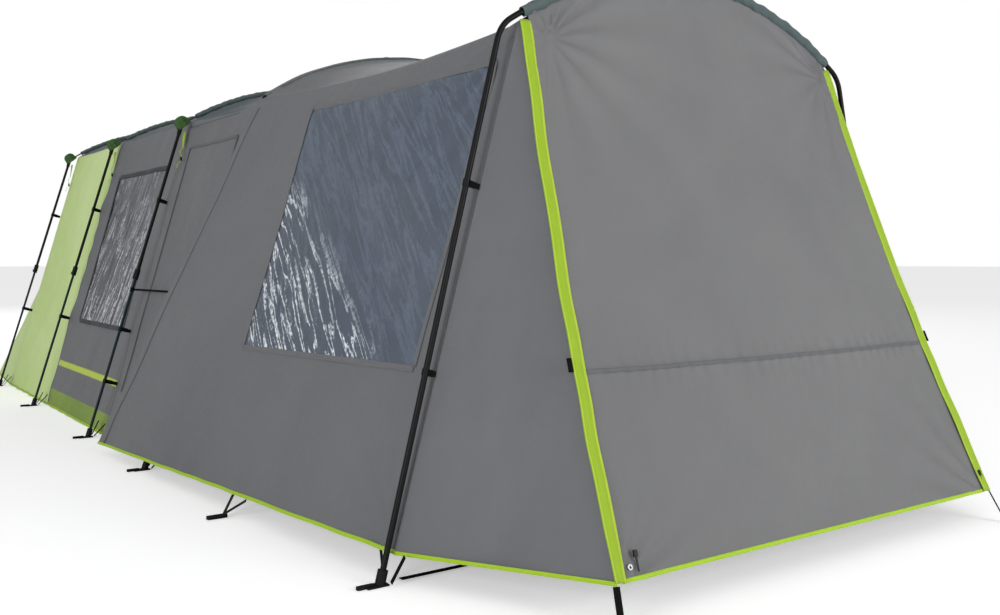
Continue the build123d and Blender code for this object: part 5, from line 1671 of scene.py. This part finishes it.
# ---- Inside ---------------------------------------------------------------------------------
@dataclass
class Inside:
    """The hung bedroom and the floor sheet.

    Attributes:
        s: shared sizes.
    """

    s: Sizes

    def build(self) -> None:
        """The bedroom's shell, front and door flap, and the floor, each a slightly slack sheet."""
        low, high = edges("bedroom_shell")
        front = low[1] + SEAM
        foot, top = high[0] - 0.001, 0.790
        y_tail, y_top = high[1], self.s.y_rear - 0.060
        y = np.linspace(0.0, 1.0, 70)[None, :]
        s = np.linspace(-2.0, 2.0, 150)[:, None]
        w = np.clip(2.0 - np.abs(s), 0.0, 1.0)
        shoulder = np.clip(np.abs(s), 0.0, 1.0)
        x = np.where(np.abs(s) > 1.0, np.sign(s) * (foot + (top - foot) * w), s * top)
        z = low[2] + (high[2] - low[2]) * w
        reach = y_tail + (y_top - y_tail) * w
        points = np.stack(np.broadcast_arrays(x, front + (reach - front) * y,
                                              z - 0.05 * hump(y) * (1.0 - shoulder**4)), -1)
        normal = grid_normals(points)
        fold = 0.006 * waves(y * 1.6, s * 1.4, 83, 0.5, 0.12) * hump(y)
        shell = Sheet("bedroom_skin", points + normal * fold[..., None])
        piece = dress(shell.build(), Stuff.INNER)
        place(piece, "tent", "bedroom_shell", slot="inner_cloth")
        u = np.linspace(-1.0, 1.0, 110)[None, :]
        t = np.linspace(0.0, 1.0, 100)[:, None]
        wide = foot + (top - foot) * t
        back = np.stack(np.broadcast_arrays(u * wide, y_tail + (y_top - y_tail) * t - 0.004,
                                            low[2] + (high[2] - low[2]) * t), -1)
        fold = 0.008 * waves(u * 1.2, t * 1.7, 89, 0.6, 0.15) * hump(t) * hump((u + 1) / 2)
        back = back + fold[..., None] * np.array([0.0, 0.9, 0.4])
        end = Sheet("bedroom_end", back)
        piece = dress(end.build(), Stuff.INNER)
        place(piece, "tent", slot="inner_cloth")
        self.wall(front, foot, top, low[2], high[2])
        self.floor()

    def wall(self, front: float, foot: float, top: float, low: float, high: float) -> None:
        """The bedroom's front wall with its door opening, and the door flap.

        Args:
            front: station of the wall.
            foot: half-width at its foot.
            top: half-width at its top.
            low: height of its foot.
            high: height of its top.
        """
        door_low, door_high = edges("bedroom_door")
        half = door_high[0] + 0.002
        zs, kz = steps([low, door_low[2] - 0.002, door_high[2] + 0.002, high], 0.022)
        share = (zs - low) / (high - low)
        wide = foot + (top - foot) * share
        t = np.linspace(0.0, 1.0, 26)
        left = -wide[:, None] + (wide[:, None] - half) * t[None, :]
        middle = np.linspace(-half, half, 37)[None, 1:-1] + 0.0 * wide[:, None]
        x = np.concatenate([left, middle, -left[:, ::-1]], 1)
        y = front + 0.006 * waves(x, zs[:, None], 91, 0.6, 0.15)
        points = np.stack(np.broadcast_arrays(x, y, zs[:, None]), -1)
        keep = np.ones((len(zs) - 1, x.shape[1] - 1), bool)
        keep[kz[1]:kz[2], 25:25 + 36] = False
        sheet = Sheet("bedroom_wall", points, flip=True, keep=keep)
        piece = dress(sheet.build(), Stuff.INNER)
        place(piece, "tent", "bedroom_front", slot="inner_cloth")
        x = np.linspace(-half, half, 50)[None, :]
        z = np.linspace(door_low[2], door_high[2], 80)[:, None]
        y = front + 0.006 * waves(x, z, 97, 0.5, 0.15)
        flap = Sheet("bedroom_flap", np.stack(np.broadcast_arrays(x, y, z), -1), flip=True)
        piece = dress(flap.build(), Stuff.INNER)
        place(piece, "bedroom_door", "bedroom_door", slot="inner_cloth")

    def floor(self) -> None:
        """The floor sheet, laid flat with a few soft ripples."""
        low, high = edges("groundsheet")
        y = np.linspace(low[1], high[1], 150)[None, :]
        x = np.linspace(-1.0, 1.0, 80)[:, None]
        taper = np.clip((y - self.s.y_rear) / (high[1] - self.s.y_rear), 0.0, 1.0)
        wide = high[0] - 0.025 * taper
        z = 0.003 + 0.0018 * (1.0 + waves(x * 1.4, y, 101, 1.0, 0.3))
        floor = Sheet("floor_cloth", np.stack(np.broadcast_arrays(x * wide, y, z), -1), flip=True)
        piece = dress(floor.build(), Stuff.FLOOR)
        place(piece, "tent", "groundsheet", slot="floor_pe")


# ---- Webbing and lines ----------------------------------------------------------------------
@dataclass
class Rigging:
    """Guy lines, boot webbing, pegging straps and the small lime tabs.

    Attributes:
        s: shared sizes.
    """

    s: Sizes

    def lines(self) -> None:
        """The two taut lines from the door hubs forward to their tabs."""
        low, high = edges("guy_lines")
        for side, sign in SIDES.items():
            x, z = sign * (high[0] - 0.0015), (low[2] + high[2]) / 2
            stations = np.linspace(high[1], low[1], 6)
            curve = bpy.data.curves.new(f"guy_line_{side}", "CURVE")
            curve.dimensions = "3D"
            spline = curve.splines.new("NURBS")
            spline.points.add(len(stations) - 1)
            for point, y in zip(spline.points, stations):
                point.co = (x, y, z, 1.0)
            spline.order_u = 3
            spline.use_endpoint_u = True
            curve.bevel_depth = 0.0015
            curve.bevel_resolution = 3
            line = bpy.data.objects.new(f"guy_line_{side}", curve)
            bpy.context.scene.collection.objects.link(line)
            dress(line, Stuff.CORD)
            place(line, "tent", "guy_lines", slot="cord")

    def straps(self, porch: Porch) -> None:
        """The pegging strap at each corner of the hem, and a tab on each zip cover's outer edge.

        Args:
            porch: the porch, whose zip covers carry the front straps.
        """
        low, high = edges("edge_webbing")
        share = np.linspace(0.0, 1.0, 24)[:, None]
        parts = []
        for side, sign in SIDES.items():
            lead = np.array([sign * 0.4, -0.9, 0.0])
            front = porch.zip_line(sign, np.array([1.0]), 0.008)[0] + np.array([0.0, -0.006, -0.004])
            reach = (front[1] - low[1] - 0.01) / 0.9
            end = front + lead * reach
            end[2] = 0.004
            foot = edges("rear_wall")[1]
            rear = np.array([sign * foot[0], foot[1], 0.026])
            tail = rear + np.array([sign * 0.4, 0.9, 0.0]) * (high[1] - foot[1] - 0.01) / 0.9
            tail[2] = 0.004
            for name, start, finish in (("front", front, end), ("rear", rear, tail)):
                line = start + (finish - start) * share
                run = (finish - start) / np.linalg.norm(finish - start)
                across = np.cross(run, UP)
                across = across / np.linalg.norm(across)
                parts.append(Tape(f"strap_{name}_{side}", line, across, np.cross(across, run), 0.022,
                                  0.003).build())
            tab = porch.zip_line(sign, np.array([0.638, 0.662]), -0.006) + RISE * 0.006
            parts.append(Tape(f"tab_{side}", tab, np.array([1.0, 0.0, 0.0]), RISE, 0.022, 0.004).build())
        place(dress(join("edge_straps", parts), Stuff.STRAP), "tent", "edge_webbing", slot="webbing")

    def tabs(self) -> None:
        """Lime triangles that hang from the corner caps, each with a curled tail and a runner."""
        shapes, runners = [], []
        for hoop in HOOPS[1:]:
            for side, sign in SIDES.items():
                hub = on_leg(hoop, side, edges("upper_legs")[1][2] - 0.030) - np.array([sign * 0.030, 0.0,
                                                                                        0.0])
                t = np.linspace(0.0, 1.0, 40)
                away = outward(sign)
                drop = hub + t[:, None] * np.array([sign * 0.030, -0.055, -0.105])
                wedge = (1.0 - 0.72 * t)[:, None] * FORE
                shapes.append(Tape(f"tab_{hoop}_{side}", drop, wedge, away, 0.060, 0.002).build())
                curl = np.stack([sign * (0.006 * np.sin(9.0 * t) + 0.035 * t),
                                 0.010 * np.sin(7.0 * t + 0.6) - 0.012 * t,
                                 -0.12 * t], -1)
                tail = drop[-1] + curl
                shapes.append(Tape(f"tail_{hoop}_{side}", tail, FORE, away, 0.012, 0.002).build())
                block = tail[22] + np.array([[0.0, 0.0, 0.011], [0.0, 0.0, -0.011]]) + away * 0.002
                runners.append(Tape(f"runner_{hoop}_{side}", block, FORE, away, 0.020, 0.009).build())
        place(dress(join("lime_tabs", shapes), Stuff.LIME), "tent", "guy_tabs", slot="lime_webbing")
        place(dress(join("tab_runners", runners), Stuff.PLASTIC), "tent", slot="black_plastic")

    def build(self, porch: Porch) -> None:
        """Build the straps and tabs, and dress the webbing that keeps its CAD shape.

        Args:
            porch: the porch, whose zip covers carry the front straps.
        """
        self.lines()
        self.straps(porch)
        self.tabs()
        for node in ("boot_webbing", "front_ground_strap", "tie_straps", "clip_webbing"):
            dress(FRAME_NODES[node], Stuff.STRAP)
        dress(FRAME_NODES["hem_hooks"], Stuff.PLASTIC)


@dataclass
class Hardware:
    """The poles, legs, locks, hubs, boots, clips and zips, which keep their CAD shapes."""

    def build(self) -> None:
        """Give every rigid node its finish."""
        finishes = {
            Stuff.TUBE: ("upper_legs", "porch_lower_legs", "porch_elbows", "porch_arch"),
            Stuff.PLASTIC: ("lock_collars", "corner_hubs", "leg_boots", "leg_clips"),
            Stuff.ROD: ("roof_poles",),
            Stuff.ZIPPER: ("zip_slider_left", "zip_slider_right"),
            Stuff.EYELET: ("corner_eyelets",),
        }
        for stuff, nodes in finishes.items():
            for node in nodes:
                dress(FRAME_NODES[node], stuff)
        for hoop in HOOPS:
            for side in SIDES:
                dress(FRAME_NODES[f"lower_leg_{hoop}_{side}"], Stuff.TEAL)
                dress(FRAME_NODES[f"lock_button_{hoop}_{side}"], Stuff.BUTTON)


# ---- Studio ---------------------------------------------------------------------------------
@dataclass
class Studio:
    """The camera, the soft lights and the pale floor."""

    def camera(self) -> None:
        """A camera low at the tent's front left, looking back along it."""
        data = bpy.data.cameras.new("camera")
        data.lens, data.sensor_width, data.shift_y = 36.47, 36.0, 0.0014
        data.clip_end = 200.0
        camera = bpy.data.objects.new("camera", data)
        bpy.context.scene.collection.objects.link(camera)
        yaw, pitch = math.radians(35.697), math.radians(-3.108)
        aim = Vector((math.sin(yaw) * math.cos(pitch), math.cos(yaw) * math.cos(pitch), math.sin(pitch)))
        camera.location = (-2.986, -6.045, 1.075)
        camera.rotation_mode = "QUATERNION"
        camera.rotation_quaternion = aim.to_track_quat("-Z", "Y")
        bpy.context.scene.camera = camera

    def light(self, name: str, spot: tuple, aim: tuple, size: float, power: float) -> None:
        """An area light at a spot that points at another.

        Args:
            name: its name.
            spot: where it stands.
            aim: what it points at.
            size: length of its sides.
            power: watts.
        """
        data = bpy.data.lights.new(name, "AREA")
        data.size, data.energy = size, power
        lamp = bpy.data.objects.new(name, data)
        lamp.location = spot
        lamp.rotation_mode = "QUATERNION"
        lamp.rotation_quaternion = (Vector(aim) - Vector(spot)).to_track_quat("-Z", "Y")
        bpy.context.scene.collection.objects.link(lamp)

    def build(self) -> None:
        """The floor, the even pale surroundings and three soft lights."""
        scene = bpy.context.scene
        scene.view_settings.view_transform = "Standard"
        world = bpy.data.worlds.new("surroundings")
        world.use_nodes = True
        graph = Graph(world.node_tree)
        seen = graph.add("LightPath").outputs["Is Camera Ray"]
        strength = graph.ramp(seen, 0.0, 1.0, 0.42, 1.0)
        sky = world.node_tree.nodes["Background"]
        sky.inputs["Color"].default_value = (1.0, 1.0, 1.0, 1.0)
        graph.tree.links.new(strength, sky.inputs["Strength"])
        scene.world = world
        self.light("key", (-12.0, -7.0, 4.0), (0.0, -1.0, 0.9), 5.0, 620.0)
        self.light("front", (2.5, -13.0, 3.2), (0.0, -3.0, 0.8), 5.0, 560.0)
        self.light("back", (6.0, 12.0, 6.0), (0.0, 1.0, 1.0), 5.0, 420.0)
        turns = np.linspace(0.0, 2.0 * math.pi, 65)[None, :-1]
        rings = np.array([0.01, 4.0, 12.0, 40.0, 90.0])[:, None]
        points = np.stack(np.broadcast_arrays(rings * np.cos(turns), rings * np.sin(turns), -0.0015), -1)
        floor = Sheet("studio_floor", points, wrap=True).build()
        material, graph, shader = new_material("studio_floor")
        noise = graph.noise(graph.add("TexCoord").outputs["Object"], 3.0)
        tone = graph.ramp(noise, 0.0, 1.0, 0.93, 0.96)
        graph.tree.links.new(tone, shader.inputs["Base Color"])
        shader.inputs["Roughness"].default_value = 0.9
        shader.inputs["Emission Color"].default_value = (1.0, 1.0, 1.0, 1.0)
        seen = graph.add("LightPath").outputs["Is Camera Ray"]
        graph.tree.links.new(graph.math("MULTIPLY", seen, 0.42), shader.inputs["Emission Strength"])
        floor.data.materials.append(material)


def main() -> None:
    """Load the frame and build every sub-assembly on it."""
    logging.basicConfig(level=logging.INFO, format="%(name)s: %(message)s")
    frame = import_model()
    FRAME_NODES.update(frame["nodes"])
    JOINTS.update({joint["name"]: joint for joint in frame["joints"]})
    sizes = Sizes.read()
    log.info("sizes %s", sizes)
    Studio().camera()
    MainTent(sizes).build()
    porch = Porch(sizes)
    porch.build()
    Inside(sizes).build()
    Rigging(sizes).build(porch)
    Hardware().build()
    Studio().build()


if __name__ == "__main__":
    main()
